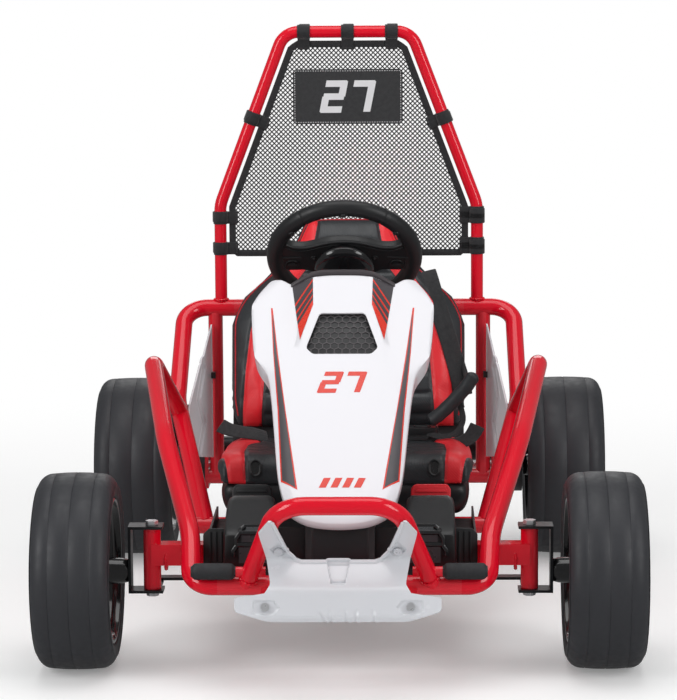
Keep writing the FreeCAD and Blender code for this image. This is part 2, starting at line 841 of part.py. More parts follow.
def steering_column(welds):
    """Shaft with its crank and pin, and the bracket whose two collars carry it."""
    length = D["column_length"]
    foot_y = D["wheel_behind"] - length * column_cos
    foot_z = D["wheel_height"] - length * column_sin
    foot_at = (0, front_y + foot_y, foot_z)
    thick = D["crank_thick"]
    half = D["crank_half"]
    arm = D["crank_arm"]
    shaft = fuse(
        "ColumnSolid",
        cylinder("ColumnShaft", (0, 0, -thick / 2), D["column_radius"],
                 length - D["hub_socket"] + thick / 2),
        cylinder("CrankHub", (0, 0, -thick / 2), half + 3.0, thick),
        box("CrankArm", (-half, 0, -thick / 2), (half, arm, thick / 2)),
        cylinder("CrankEnd", (0, arm, -thick / 2), half, thick),
        cylinder("CrankPin", (0, arm, 0), D["crank_pin"], D["crank_pin_length"]))
    finish(shaft, "steering_column", foot_at, COLUMN_TURN)

    def on_column(name, along, radius, reach):
        at = (0, foot_y + along * column_cos, foot_z + along * column_sin)
        return cylinder(name, at, radius, reach, COLUMN_TURN)

    half_collar = D["collar_length"] / 2
    post_y = D["mid_cross_behind"]
    high = (post_y - foot_y) / column_cos
    low = D["low_collar"]
    high_z = foot_z + high * column_sin
    low_y = foot_y + low * column_cos
    low_z = foot_z + low * column_sin
    strut_z = D["strut_height"]
    strut_line = point(0, post_y, strut_z) - point(0, low_y, low_z)
    solid = fuse(
        "ColumnBracketSolid",
        on_column("HighCollar", high - half_collar, D["collar_radius"], D["collar_length"]),
        on_column("LowCollar", low - half_collar, D["collar_radius"], D["collar_length"]),
        cylinder("ColumnPost", (0, post_y, D["floor_height"]), D["post_tube"],
                 high_z - D["floor_height"]),
        cylinder("ColumnStrut", (0, low_y, low_z), D["strut_radius"], strut_line.Length,
                 Rotation(Vector(0, 0, 1), strut_line)))
    bore = on_column("ColumnBore", 0, D["column_radius"] + D["running_gap"], length)
    finish(cut("ColumnBracket", solid, bore, welds["middle"]), "column_bracket")


def steering_wheel():
    """Grip ring, spoke plate with its boss, and the horn button in the boss."""
    at = (0, front_y + D["wheel_behind"], D["wheel_height"])
    ring = D["wheel_radius"]
    grip = primitive("Torus", "Grip", Radius1=ring, Radius2=D["grip_radius"])
    finish(grip, "steering_grip", at, COLUMN_TURN)
    thick = D["spoke_thick"]
    spoke = D["spoke_half"]
    rise = D["boss_rise"]
    floor = rise - D["horn_depth"] - D["horn_travel"] + D["horn_proud"] - 1.0
    grip_tool = primitive("Torus", "GripTool", Radius1=ring, Radius2=D["grip_radius"] + D["free_gap"])
    solid = fuse(
        "WheelSolid",
        cylinder("Boss", (0, 0, -D["boss_depth"]), D["boss_radius"], D["boss_depth"] + rise),
        box("SideSpokes", (-ring, -spoke, -thick / 2), (ring, spoke, thick / 2)),
        box("LowSpoke", (-spoke, 0, -thick / 2), (spoke, ring, thick / 2)))
    socket = cylinder("WheelSocket", (0, 0, -D["boss_depth"]),
                      D["column_radius"] + D["running_gap"], D["boss_depth"] - D["hub_socket"])
    recess = cylinder("HornRecess", (0, 0, floor), D["horn_radius"] + D["free_gap"], rise - floor)
    finish(cut("Wheel", solid, grip_tool, socket, recess), "steering_wheel", at, COLUMN_TURN)
    low = rise + D["horn_proud"] - D["horn_depth"]
    button = cylinder("HornButton", (0, 0, low), D["horn_radius"], D["horn_depth"])
    dome = primitive("Fillet", "HornButtonRounded")
    dome.Base = button
    doc.recompute()
    top_edge = max(range(len(button.Shape.Edges)),
                   key=lambda count: button.Shape.Edges[count].CenterOfMass.z)
    dome.Edges = [(top_edge + 1, 2.0, 2.0)]
    finish(dome, "horn_button", at, COLUMN_TURN)


# ---------------------------------------------------------------- bumper
def shield_line():
    """Corners of the shield's back face, from the horns down, as (y, z) stations."""
    lean = (D["bumper_top_ahead"] - D["cross_ahead"]) / (D["bumper_top_height"]
                                                         - D["floor_height"])
    lean_value = float(lean)
    clear = (D["main_tube"] + D["free_gap"]) * math.sqrt(1 + lean_value ** 2)

    def beside_leg(z):
        return -(D["cross_ahead"] + clear + lean * (z - D["floor_height"]))

    top = D["shield_top"]
    crease = D["shield_crease"]
    chin = D["shield_chin"]
    face = D["shield_thick"]
    return [(beside_leg(top), top), (beside_leg(crease), crease),
            (face - D["shield_reach"] + D["shield_belly_back"], chin + D["shield_belly_rise"]),
            (face - D["shield_reach"], chin + D["shield_nose_rise"]),
            (face - D["shield_reach"] + D["shield_lip_back"], chin - D["shield_lip_drop"])]


def bolt_stations(line):
    """Where each shield bolt leaves the back face, and the way it points, for one side."""
    stations = []
    for half, height in ((D["shield_high_bolt_half"], D["shield_high_bolt_height"]),
                         (D["shield_low_bolt_half"], D["shield_low_bolt_height"])):
        for (y0, z0), (y1, z1) in zip(line, line[1:]):
            if float(z0) >= float(height) >= float(z1):
                share = (float(z0) - float(height)) / (float(z0) - float(z1))
                at = (half, y0 + (y1 - y0) * share, height)
                run = Vector(0, float(y1) - float(y0), float(z1) - float(z0)).normalize()
                stations.append((at, Vector(0, run.z, -run.y)))
    return stations


def bumper(welds):
    """Bent loop on the front cross tube, its shield, brackets, foot pegs and sleeves."""
    foot = (D["bumper_foot_half"], -D["cross_ahead"], D["floor_height"])
    top = (D["bumper_top_half"], -D["bumper_top_ahead"], D["bumper_top_height"])
    bend = D["bumper_bend"]
    loop, loop_out = bent_tube(
        "Bumper",
        [point(-foot[0], *foot[1:]), point(-top[0], *top[1:]), point(*top), point(*foot)],
        [bend, bend], D["main_tube"], [welds["cross"]])
    line = shield_line()
    face = D["shield_thick"]
    body = new_body("ShieldSheet")
    front_line = [(y - face, z) for y, z in reversed(line)]
    sheet_outline = outline(body, "ShieldSection", "YZ_Plane", line + front_line)
    pad(body, "ShieldSheetPad", sheet_outline, D["shield_half"] * 2 + 10.0, midplane=True)
    front = new_body("ShieldFront")
    half = D["shield_half"]
    chin = D["shield_chin"]
    crease = D["shield_crease"]
    waist = D["shield_waist_half"]
    horn_top = D["shield_top"] - D["horn_top_drop"]
    ear_top = chin + D["shield_ear_top"]
    right_half = [
        (0, crease), (D["shield_notch_half"], crease), (waist - D["horn_inset"], horn_top),
        (waist, horn_top + 1.0), (waist + D["horn_width"], D["shield_top"] - D["horn_side_drop"]),
        (waist, chin + D["shield_waist_rise"]), (waist + D["shield_ear_step"], ear_top),
        (half, ear_top), (half, chin + D["shield_ear_low"]), (waist + 2.0, chin),
        (0, chin + D["shield_chin_rise"]),
    ]
    pad(front, "ShieldFrontPad",
        outline(front, "ShieldOutline", "XZ_Plane", both_sides(right_half)),
        D["shield_reach"] * 4, midplane=True)
    blank = doc.addObject("Part::Common", "ShieldBlank")
    blank.Base = body
    blank.Tool = front

    bolts, drills = [], []
    stations = bolt_stations(line)
    for index, (at, way) in enumerate(stations):
        for word, side in SIDES.items():
            name = f"{index}{word}"
            spot = (at[0] * side, at[1], at[2])
            radius = D["shield_bolt"]
            back_turn = Rotation(Vector(0, 0, 1), -way)
            head_at = tuple(value + float(face) * step for value, step in zip(spot, way))
            bolts.append(fuse(
                f"ShieldBolt{name}",
                cylinder(f"ShieldBoltHead{name}", head_at, radius * 2, radius,
                         Rotation(Vector(0, 0, 1), way)),
                cylinder(f"ShieldBoltShank{name}", head_at, radius, D["shield_bolt_length"],
                         back_turn)))
            drills.append(cylinder(f"ShieldDrill{name}", head_at, radius + D["running_gap"],
                                   D["shield_bolt_length"] + 1.0, back_turn))
    finish(cut("Shield", blank, *drills), "bumper_shield")
    finish(group("ShieldBolts", *bolts), "shield_bolts")
    finish(cut("BumperDrilled", loop, *drills), "bumper_loop")

    pieces = []
    sleeves = []
    across_turn = Rotation(Vector(0, 0, 1), Vector(1, 0, 0))
    low = D["shield_low_bolt_height"]
    tab_half = D["tab_half"]
    tab_at, tab_way = stations[1]
    plate = D["bracket_sheet"]
    tab_down = Vector(0, -tab_way.z, tab_way.y)
    tab_turn = Rotation(Vector(1, 0, 0), tab_down, -tab_way, "XYZ")
    shelf_y = tab_at[1] + plate * 1.5
    shelf_z = low + D["shield_bolt"] + 1.0
    peg_at = (-D["peg_ahead"], D["peg_height"])
    sleeve_in = D["bumper_foot_half"] + D["main_tube"]
    inner = D["bumper_top_half"] + D["peg_overlap"]
    for word, side in SIDES.items():
        mid = tab_at[0] * side
        shelf = box(f"ShieldShelf{word}", (mid - tab_half, shelf_y, shelf_z),
                    (mid + tab_half, -D["cross_ahead"], shelf_z + plate))
        tab = box(f"ShieldTab{word}", (0, 0, 0), (tab_half * 2, tab_half * 2, plate))
        place(tab, (mid - tab_half, tab_at[1] - tab_half * tab_down.y,
                    low - tab_half * tab_down.z), tab_turn)
        arm = cut(f"ShieldArm{word}", fuse(f"ShieldArmSolid{word}", shelf, tab), welds["cross"],
                  *drills)
        start = inner if side > 0 else -D["peg_end_half"]
        peg = cylinder(f"Peg{word}", (start, *peg_at), D["peg_radius"],
                       D["peg_end_half"] - inner, across_turn)
        pieces += [arm, cut(f"PegCoped{word}", peg, loop_out)]
        sleeve_start = sleeve_in if side > 0 else -D["peg_end_half"] - D["sleeve_end"]
        foam = cylinder(f"Sleeve{word}", (sleeve_start, *peg_at), D["sleeve_radius"],
                        D["peg_end_half"] + D["sleeve_end"] - sleeve_in, across_turn)
        bore = cylinder(f"SleeveBore{word}",
                        (sleeve_in if side > 0 else -D["peg_end_half"] - D["free_gap"], *peg_at),
                        D["peg_radius"] + D["free_gap"],
                        D["peg_end_half"] + D["free_gap"] - sleeve_in, across_turn)
        sleeves.append(cut(f"SleeveHollow{word}", foam, bore))
    finish(group("BumperBrackets", *pieces), "bumper_brackets")
    finish(group("FootSleeves", *sleeves), "foot_sleeves")


# ---------------------------------------------------------------- pedals and floor
def floor_and_pedals():
    """Floor tub, foot guards, and two pedals on their pins."""
    gap = D["free_gap"]
    floor = D["floor_height"] + D["main_tube"] + gap
    wall = D["plastic_wall"]
    beam = D["beam_side"] / 2 + 1.0
    beam_low = D["beam_height"] - beam
    beam_room = box("BeamRoom", (-D["kingpin_half"], -beam, beam_low),
                    (D["kingpin_half"], beam, D["beam_height"] + beam))
    tunnel = D["tunnel_half"]
    ahead = -D["tunnel_ahead"]
    tan = column_sin / column_cos
    hood_inside = D["hood_low_height"] - D["hood_wall"] / column_cos
    tunnel_top = hood_inside + (D["hood_low_ahead"] - D["tunnel_ahead"]) * tan - gap * 2
    half = D["tub_half"]
    back = D["tub_back"]
    pan = box("Pan", (-half, beam, floor), (half, back, floor + wall))
    lips = [box(f"PanLip{word}", (half * side - wall / 2, beam, floor),
                (half * side + wall / 2, back, floor + D["tub_lip"]))
            for word, side in SIDES.items()]
    housing = cut(
        "Tunnel",
        box("TunnelSolid", (-tunnel, ahead, floor), (tunnel, D["tunnel_back"], tunnel_top)),
        box("TunnelRoom", (wall - tunnel, ahead + wall, floor - 1.0),
            (tunnel - wall, D["tunnel_back"], tunnel_top)))
    well = box("TunnelWell", (wall - tunnel, ahead + wall, floor - 1.0),
               (tunnel - wall, D["tunnel_back"], floor + wall))
    post_room = cylinder("PostRoom", (0, D["mid_cross_behind"], floor), D["post_tube"] + 1.0, wall)
    tub = cut("FloorTub", fuse("FloorTubSolid", pan, housing, *lips), well, beam_room, post_room)
    finish(tub, "floor_tub")

    pins = []
    pin_y = D["pedal_behind"]
    pin_z = D["pedal_pin_height"]
    pedal_half = D["pedal_width"] / 2
    pin = D["pedal_pin"]
    ear = D["bracket_sheet"]
    across_turn = Rotation(Vector(0, 0, 1), Vector(1, 0, 0))
    lean = Rotation(Vector(1, 0, 0), -float(D["pedal_lean"]))
    for word, side, name in (("left", 1, "brake_pedal"), ("right", -1, "accelerator_pedal")):
        mid = D["pedal_half"] * side
        ears = [box(f"PedalEar{word}{end}",
                    (mid + (pedal_half + 0.5) * end - (0 if end > 0 else ear), pin_y - D["pedal_ear_half"],
                     floor + wall + gap),
                    (mid + (pedal_half + 0.5) * end + (ear if end > 0 else 0), pin_y + D["pedal_ear_half"],
                     pin_z + D["pedal_ear_rise"]))
                for end in (-1, 1)]
        bar = cylinder(f"PedalPin{word}", (mid - pedal_half - ear - 2.0, pin_y, pin_z), pin,
                       D["pedal_width"] + ear * 2 + 4.0, across_turn)
        pins.append(fuse(f"PedalPins{word}", bar, *ears))

        plate = box(f"PedalPlate{word}", (-pedal_half, -D["pedal_thick"] / 2, 0),
                    (pedal_half, D["pedal_thick"] / 2, D["pedal_length"]))
        hub = cylinder(f"PedalHub{word}", (-pedal_half, 0, 0), pin * 2, D["pedal_width"],
                       across_turn)
        bore = cylinder(f"PedalBore{word}", (-pedal_half, 0, 0), pin + D["running_gap"],
                        D["pedal_width"], across_turn)
        pedal = cut(f"Pedal{word}", fuse(f"PedalSolid{word}", plate, hub), bore)
        finish(pedal, name, (mid, front_y + pin_y, pin_z), lean)

        guard = new_body(f"FootGuard{word}")
        front = -D["guard_box_ahead"]
        rear = D["guard_box_back"]
        skirt = rear + D["guard_box_skirt"]
        low = floor + gap + wall
        shelf = D["guard_box_shelf"]
        high = D["guard_box_high"]
        section = outline(guard, f"FootGuardSection{word}", "YZ_Plane",
                          [(front, low), (front, shelf), (rear, high), (skirt, high),
                           (skirt, low)])
        width = D["guard_box_half"] * 2
        pad(guard, f"FootGuardPad{word}", section, width, midplane=True)
        room = outline(guard, f"FootGuardRoom{word}", "YZ_Plane",
                       [(front + wall, low - 1.0), (front + wall, shelf - wall),
                        (rear, high - wall), (skirt + 1.0, high - wall), (skirt + 1.0, low - 1.0)])
        hollow = pocket(guard, f"FootGuardHollow{word}", room, width - wall * 2)
        hollow.Midplane = True
        guard.Placement = Placement(Vector(float(mid), 0, 0), Rotation())
        guard.setExpression("Placement.Base.x", mid.text)
        finish(cut(f"FootGuardNotched{word}", guard, beam_room), f"foot_guard_{word}")
    finish(group("PedalPins", *pins), "pedal_pins")


# ---------------------------------------------------------------- hood
HOOD_TURN = Rotation(Vector(1, 0, 0), float(D["column_angle"]))
HOOD_AT = (0, front_y - D["hood_low_ahead"], D["hood_low_height"])


def hood():
    """Shell over the column, open below, and the dark trim along its upper edge."""
    length = D["hood_length"]
    wall = D["hood_wall"]
    depth = D["hood_depth"]
    shoulder_at = length - D["hood_shoulder_drop"]
    half_outline = [(D["hood_lip_half"], 0), (D["hood_low_half"], D["hood_lip_station"]),
                    (D["hood_low_half"] + D["hood_flare"], D["hood_flare_station"]),
                    (D["hood_waist_half"], D["hood_waist_station"]),
                    (D["hood_lobe_half"], D["hood_lobe_station"]),
                    (D["hood_shoulder_half"], shoulder_at),
                    (D["hood_brow_half"], length)]
    inset_outline = [(D["hood_lip_half"] - wall, wall),
                     *[(x - wall, y) for x, y in half_outline[1:-1]],
                     (D["hood_brow_half"] - wall, length - wall)]
    body = new_body("Hood")
    pad(body, "HoodPad",
        outline(body, "HoodOutline", "XY_Plane", both_sides(half_outline), -depth), depth)
    room = outline(body, "HoodRoom", "XY_Plane", both_sides(inset_outline), -depth)
    pocket(body, "HoodHollow", room, depth - wall, backwards=True)
    skirt_end = length * D["hood_skirt_share"]
    skirt = outline(body, "HoodSkirt", "YZ_Plane",
                    [(-1.0, -D["hood_low_depth"]), (skirt_end, -depth), (skirt_end, -depth - 1.0),
                     (-1.0, -depth - 1.0)])
    pocket(body, "HoodSkirtCut", skirt)
    round_edges(body, "HoodRound", D["hood_round"],
                lambda edge: abs(edge.BoundBox.ZMin) < 0.01 and abs(edge.BoundBox.ZMax) < 0.01)
    shaft_room = cylinder("ShaftRoom", (0, 0, 0), D["column_radius"] + 4.0, length)
    column_drop = ((D["wheel_behind"] + D["hood_low_ahead"]) * column_sin
                   - (D["wheel_height"] - D["hood_low_height"]) * column_cos)
    place(shaft_room, (0, length / 2, -column_drop), Rotation(Vector(1, 0, 0), -90))
    finish(cut("HoodShell", body, shaft_room), "hood_shell", HOOD_AT, HOOD_TURN)

    gap = D["free_gap"]
    thick = D["trim_thick"]
    brow = D["hood_brow_half"]
    shoulder = D["hood_shoulder_half"]
    trim = new_body("DashTrim")
    edge = [(brow, length + gap), (shoulder, shoulder_at + gap)]
    outer = [(shoulder + D["trim_width"], length - D["trim_side_drop"]), (brow + 1.0, length + thick)]
    pad(trim, "DashTrimPad",
        outline(trim, "DashTrimOutline", "XY_Plane", both_sides(edge + outer), D["trim_width"] - depth),
        depth)
    trim_room = cylinder("TrimRoom", (0, 0, 0), D["column_radius"] + 4.0, length)
    place(trim_room, (0, length / 2, -column_drop), Rotation(Vector(1, 0, 0), -90))
    finish(cut("DashTrimDrilled", trim, trim_room), "dash_trim", HOOD_AT, HOOD_TURN)


# ---------------------------------------------------------------- seat
BACK_TURN = Rotation(Vector(1, 0, 0), 90 - float(D["backrest_lean"]))
seat_foot = D["hoop_behind"] - D["seat_to_hoop"]
seat_front = seat_foot - D["seat_base_length"]
seat_slope = (D["seat_front_height"] - D["seat_crease_height"]) / D["seat_base_length"]
BACK_AT = (0, front_y + seat_foot, D["seat_crease_height"])


def back_outline(inset):
    """Outline of the backrest, seen square on, in from the cushion's edge by an inset."""
    half = D["seat_half"] - inset
    shoulder = D["backrest_shoulder"]
    length = D["backrest_length"]
    foot = D["backrest_foot"]
    return both_sides([(half, foot), (half, shoulder),
                       (half - D["shoulder_in"], shoulder + D["shoulder_rise"]),
                       (D["head_half"] + D["head_flare"] - inset, length - D["head_drop"] - inset / 2),
                       (D["head_half"] - inset, length - inset)])


def seat(welds):
    """Seat shell, cushions and the brackets that carry the shell."""
    gap = D["soft_gap"]
    wall = D["seat_shell_wall"]
    front = seat_front
    foot = seat_foot
    front_z = D["seat_front_height"]
    crease_z = D["seat_crease_height"]
    base = new_body("SeatBase")
    base_outline = outline(base, "SeatBaseSection", "YZ_Plane",
                           [(front, front_z - wall), (front, front_z), (foot, crease_z),
                            (foot + wall, crease_z + wall), (foot + wall, crease_z - wall)])
    inset = D["shell_inset"]
    pad(base, "SeatBasePad", base_outline, (D["seat_half"] - inset) * 2, midplane=True)
    back = new_body("SeatBack")
    pad(back, "SeatBackPad",
        outline(back, "SeatBackOutline", "XY_Plane",
                [(x, 0) if float(y) == float(D["backrest_foot"]) else (x, y)
                 for x, y in back_outline(inset)], -wall), wall)
    place(back, (0, foot, crease_z), BACK_TURN)
    finish(fuse("SeatShell", base, back), "seat_shell")

    thick = D["cushion_thick"]
    cushion = new_body("SeatCushion")
    back_end = foot - D["seat_crease_ahead"]
    rear_z = crease_z + seat_slope * D["seat_crease_ahead"]
    section = outline(cushion, "CushionSection", "YZ_Plane",
                      [(front, front_z + gap), (front - D["cushion_nose"], front_z + thick / 2),
                       (front + D["cushion_nose_back"], front_z + thick), (back_end, rear_z + thick),
                       (back_end, rear_z + gap)])
    pad(cushion, "CushionPad", section, D["seat_half"] * 2, midplane=True)
    finish(cushion, "seat_cushion")

    backrest = new_body("Backrest")
    pad(backrest, "BackrestPad",
        outline(backrest, "BackrestOutline", "XY_Plane", back_outline(0.0), gap),
        D["backrest_thick"])
    finish(backrest, "backrest_cushion", BACK_AT, BACK_TURN)

    lean = math.radians(float(D["backrest_lean"]))
    block_size = D["mount_block"]
    low_bar = D["bar_height"] - block_size / 2
    shell_back = (foot + (low_bar + block_size - crease_z) * math.tan(lean) + wall / math.cos(lean)
                  + D["free_gap"])
    front_base = front_z - wall - D["free_gap"]
    rear_base = rear_z - wall - D["free_gap"] * 3
    edge_gap = block_size / 4
    mounts = []
    for word, side in SIDES.items():
        ranges = (
            ("Front", D["mount_front_half"], front - edge_gap, front + edge_gap,
             D["floor_height"], front_base - seat_slope * edge_gap, welds["seat"]),
            ("Rear", D["floor_rail_half"], back_end - edge_gap - block_size, back_end - edge_gap,
             D["floor_height"], rear_base + seat_slope * edge_gap, None),
            ("Upper", D["mount_upper_half"], shell_back, D["hoop_behind"],
             low_bar, low_bar + block_size, welds["bar"]),
        )
        for spot, half, y0, y1, z0, z1, host in ranges:
            mid = half * side
            block = box(f"SeatMount{spot}{word}", (mid - block_size / 2, y0, z0),
                        (mid + block_size / 2, y1, z1))
            hosts = welds["rails"] if host is None else [host]
            mounts.append(cut(f"SeatMountCoped{spot}{word}", block, *hosts))
    finish(group("SeatMounts", *mounts), "seat_mounts")


def harness():
    """Webbing over the cushions, with a padded lap strap and the buckle."""
    gap = D["soft_gap"]
    thick = D["webbing_thick"]
    width = D["webbing"]
    half = D["seat_half"] + gap
    station = seat_foot - D["lap_ahead"]
    top = (D["seat_crease_height"] + seat_slope * (D["lap_ahead"] + width / 2)
           + D["cushion_thick"] + gap)
    low = D["seat_front_height"] + D["lap_low_rise"]
    for word, side, depth in (("left", 1, thick * 3), ("right", -1, thick)):
        reach = D[f"lap_reach_{word}"]
        body = new_body(f"LapStrap{word}")
        points = [(half, low), (half, top), (reach, top), (reach, top + depth),
                  (half + depth, top + depth), (half + depth, low)]
        section = outline(body, f"LapStrapSection{word}", "XZ_Plane",
                          [(x * side, z) for x, z in points])
        pad(body, f"LapStrapPad{word}", section, width, midplane=True)
        finish(body, f"lap_strap_{word}", (0, front_y + station, 0))
    buckle = box("BuckleBlock", (D["buckle_inner"], station - D["buckle_half"], top),
                 (D["lap_reach_left"] - gap, station + D["buckle_half"], top + D["buckle_depth"]))
    finish(buckle_rounded(buckle), "harness_buckle")

    strap = new_body("ShoulderStrap")
    shoulder = D["backrest_shoulder"]
    outer = D["shoulder_strap_half"]
    inner = outer - width
    drop = shoulder - D["shoulder_strap_drop"]
    bend = shoulder - D["shoulder_strap_bend"]
    end = D["shoulder_strap_end_half"]
    rise = shoulder + D["shoulder_strap_end_rise"]
    pad(strap, "ShoulderStrapPad",
        outline(strap, "ShoulderStrapOutline", "XY_Plane",
                [(inner, drop), (outer, drop), (outer, bend), (end, rise),
                 (end - width, rise - 8.0), (inner, bend - 10.0)],
                D["backrest_thick"] + gap * 2),
        thick)
    finish(strap, "shoulder_strap", BACK_AT, BACK_TURN)


def buckle_rounded(block):
    """The buckle block with its upright edges rounded."""
    rounded = doc.addObject("Part::Fillet", "Buckle")
    rounded.Base = block
    doc.recompute()
    upright = [count for count, edge in enumerate(block.Shape.Edges)
               if edge.BoundBox.ZLength > float(D["buckle_depth"]) / 2]
    radius = float(D["buckle_round"])
    rounded.Edges = [(count + 1, radius, radius) for count in upright]
    return rounded


# ---------------------------------------------------------------- battery and drive
def drive(welds):
    """Battery, fixed rear axle with its brackets, gearboxes, motors and nuts."""
    gap = D["free_gap"]
    rails_top = D["floor_height"] + D["main_tube"] + gap
    half = D["battery_half"]
    flange_half = D["floor_rail_half"] + D["flange_over"]
    flange_in = D["flange_in"]
    case = fuse(
        "BatteryCase",
        box("BatteryBox", (-half, D["battery_front"], D["battery_low"]),
            (half, D["battery_back"], D["battery_high"])),
        box("BatteryFlange", (-flange_half, D["battery_front"] + flange_in, rails_top),
            (flange_half, D["battery_back"] - flange_in, rails_top + D["bracket_sheet"])))
    finish(case, "battery_pack")

    across_turn = Rotation(Vector(0, 0, 1), Vector(1, 0, 0))
    axle_y = D["wheelbase"]
    axle_z = rear_axle_z
    hub_out = D["rear_track"] / 2 + D["rear_tyre_width"] / 2 + D["hub_recess"] - D["rim_dish"]
    nut_depth = D["nut_depth"]
    end = hub_out + nut_depth + 3.0
    radius = D["axle_radius"]
    finish(cylinder("RearAxle", (-end, axle_y, axle_z), radius, end * 2, across_turn),
           "rear_axle", (-end, front_y + axle_y, axle_z), across_turn)
    inner = D["bracket_half"]
    plate = D["bracket_plate"]
    brackets, nuts, motors = [], [], []
    for word, side in SIDES.items():
        span = sorted((inner * side, (inner + plate) * side), key=float)
        bracket = box(f"AxleBracket{word}", (span[0], D["hoop_behind"] - D["axle_bracket_ahead"],
                                                 axle_z - D["axle_bracket_drop"]),
                      (span[1], axle_y + D["axle_bracket_back"], axle_z + D["axle_bracket_rise"]))
        start = span[0]
        brackets.append(cut(
            f"AxleBracketDrilled{word}", bracket, welds["rear"],
            cylinder(f"AxleBracketHole{word}", (start, axle_y, axle_z),
                     radius + D["running_gap"], plate, across_turn)))
        nut_x = hub_out + gap if side > 0 else -hub_out - gap - nut_depth
        nuts.append(cut(
            f"AxleNut{word}",
            hexagon(f"AxleNutHex{word}", (nut_x, axle_y, axle_z), D["axle_nut"], nut_depth,
                    across_turn),
            cylinder(f"AxleNutBore{word}", (nut_x, axle_y, axle_z), radius + D["running_gap"],
                     nut_depth, across_turn)))
        box_in = D["gearbox_inner"]
        box_out = D["gearbox_outer"]
        box_x = box_in if side > 0 else -box_out
        motor_y = axle_y + D["motor_behind"]
        motor_z = axle_z + D["motor_rise"]
        width = box_out - box_in
        housing = fuse(
            f"GearboxSolid{word}",
            cylinder(f"GearboxMain{word}", (box_x, axle_y, axle_z), D["gearbox_radius"], width,
                     across_turn),
            cylinder(f"GearboxTail{word}", (box_x, motor_y, motor_z), D["motor_radius"] + D["gearbox_tail_wall"],
                     width, across_turn),
            box(f"GearboxNeck{word}", (box_x, axle_y, axle_z - D["gearbox_neck_drop"]),
                (box_x + width, motor_y, motor_z + D["gearbox_neck_rise"])))
        finish(cut(f"Gearbox{word}", housing,
                   cylinder(f"GearboxBore{word}", (box_x, axle_y, axle_z), radius + gap, width,
                            across_turn)), f"gearbox_{word}")
        motor_x = box_in - gap - D["motor_length"] if side > 0 else gap - box_in
        motors.append(cylinder(f"Motor{word}", (motor_x, motor_y, motor_z), D["motor_radius"],
                               D["motor_length"], across_turn))
    finish(group("AxleBrackets", *brackets), "rear_axle_brackets")
    finish(group("AxleNuts", *nuts), "rear_axle_nuts")
    finish(group("Motors", *motors), "drive_motors")


# ---------------------------------------------------------------- net and side panels
def hoop_inset(distance):
    """Corners of a line inside the roll hoop's right half, at a distance from its middle line."""
    knee_x = D["hoop_foot_half"]
    knee_z = D["hoop_knee_height"]
    run_x = float(D["hoop_top_half"] - knee_x)
    run_z = float(D["hoop_top_height"] - knee_z)
    length = math.hypot(run_x, run_z)
    side_x = knee_x - distance * (run_z / length)
    side_z = knee_z + distance * (run_x / length)
    slope = run_x / run_z
    top_z = D["hoop_top_height"] - distance
    inner_x = knee_x - distance
    knee = (inner_x, side_z + (inner_x - side_x) / slope)
    return knee, (side_x + (top_z - side_z) * slope, top_z)


def net():
    """Net panel inside the roll hoop, and the bands that tie it to the tube."""
    tube = D["hoop_tube"]
    knee, top = hoop_inset(tube + D["net_gap"])
    body = new_body("Net")
    bottom = D["net_low"]
    nip = D["net_corner"]
    drop = nip * (top[1] - knee[1]) / (knee[0] - top[0])
    shape = both_sides([(top[0] - nip, top[1]), (top[0] + nip, top[1] - drop), knee,
                        (knee[0], bottom + D["net_sag"]), (0, bottom)])
    pad(body, "NetPad", outline(body, "NetOutline", "XZ_Plane", shape), D["net_thick"],
        midplane=True)
    finish(body, "headrest_net", (0, front_y + D["hoop_behind"], 0))

    bands = []
    width = D["strap_width"]
    thick = D["webbing_thick"]
    run = Vector(float(D["hoop_top_half"] - D["hoop_foot_half"]), 0,
                 float(D["hoop_top_height"] - D["hoop_knee_height"])).normalize()
    spots = []
    for height in NET_STRAP_HEIGHTS:
        rise = max(height - float(D["hoop_knee_height"]), 0.0)
        slanted = rise > 0
        x = float(D["hoop_foot_half"]) + rise * run.x / run.z
        way = run if slanted else Vector(0, 0, 1)
        spots.append((Vector(x, 0, height), way, Vector(-way.z, 0, way.x)))
    top_spots = [(Vector(x, 0, float(D["hoop_top_height"])), Vector(1, 0, 0), Vector(0, 0, -1))
                 for x in (-D["top_strap_half"], 0.0, D["top_strap_half"])]
    right_spots = [(Vector(-at.x, 0, at.z), Vector(-way.x, 0, way.z), Vector(-inward.x, 0, inward.z))
                   for at, way, inward in spots]
    for count, (at, way, inward) in enumerate(spots + right_spots + top_spots):
        turn = Rotation(inward.cross(way), inward, way, "ZYX")
        half = width / 2
        ring = cut(
            f"Band{count}Ring",
            primitive("Cylinder", f"Band{count}Out", (0, 0, -half), Radius=tube + thick,
                      Height=width),
            primitive("Cylinder", f"Band{count}In", (0, 0, -half), Radius=tube + D["free_gap"],
                      Height=width))
        tab = box(f"Band{count}Tab", (-thick / 2, tube + 1.0, -half),
                  (thick / 2, tube + D["net_gap"] - D["soft_gap"], half))
        band = fuse(f"Band{count}", ring, tab)
        place(band, (0, 0, 0), turn)
        band.Placement = Placement(at, turn)
        bands.append(band)
    finish(group("NetStraps", *bands), "net_straps",
           (0, front_y + D["hoop_behind"], 0))


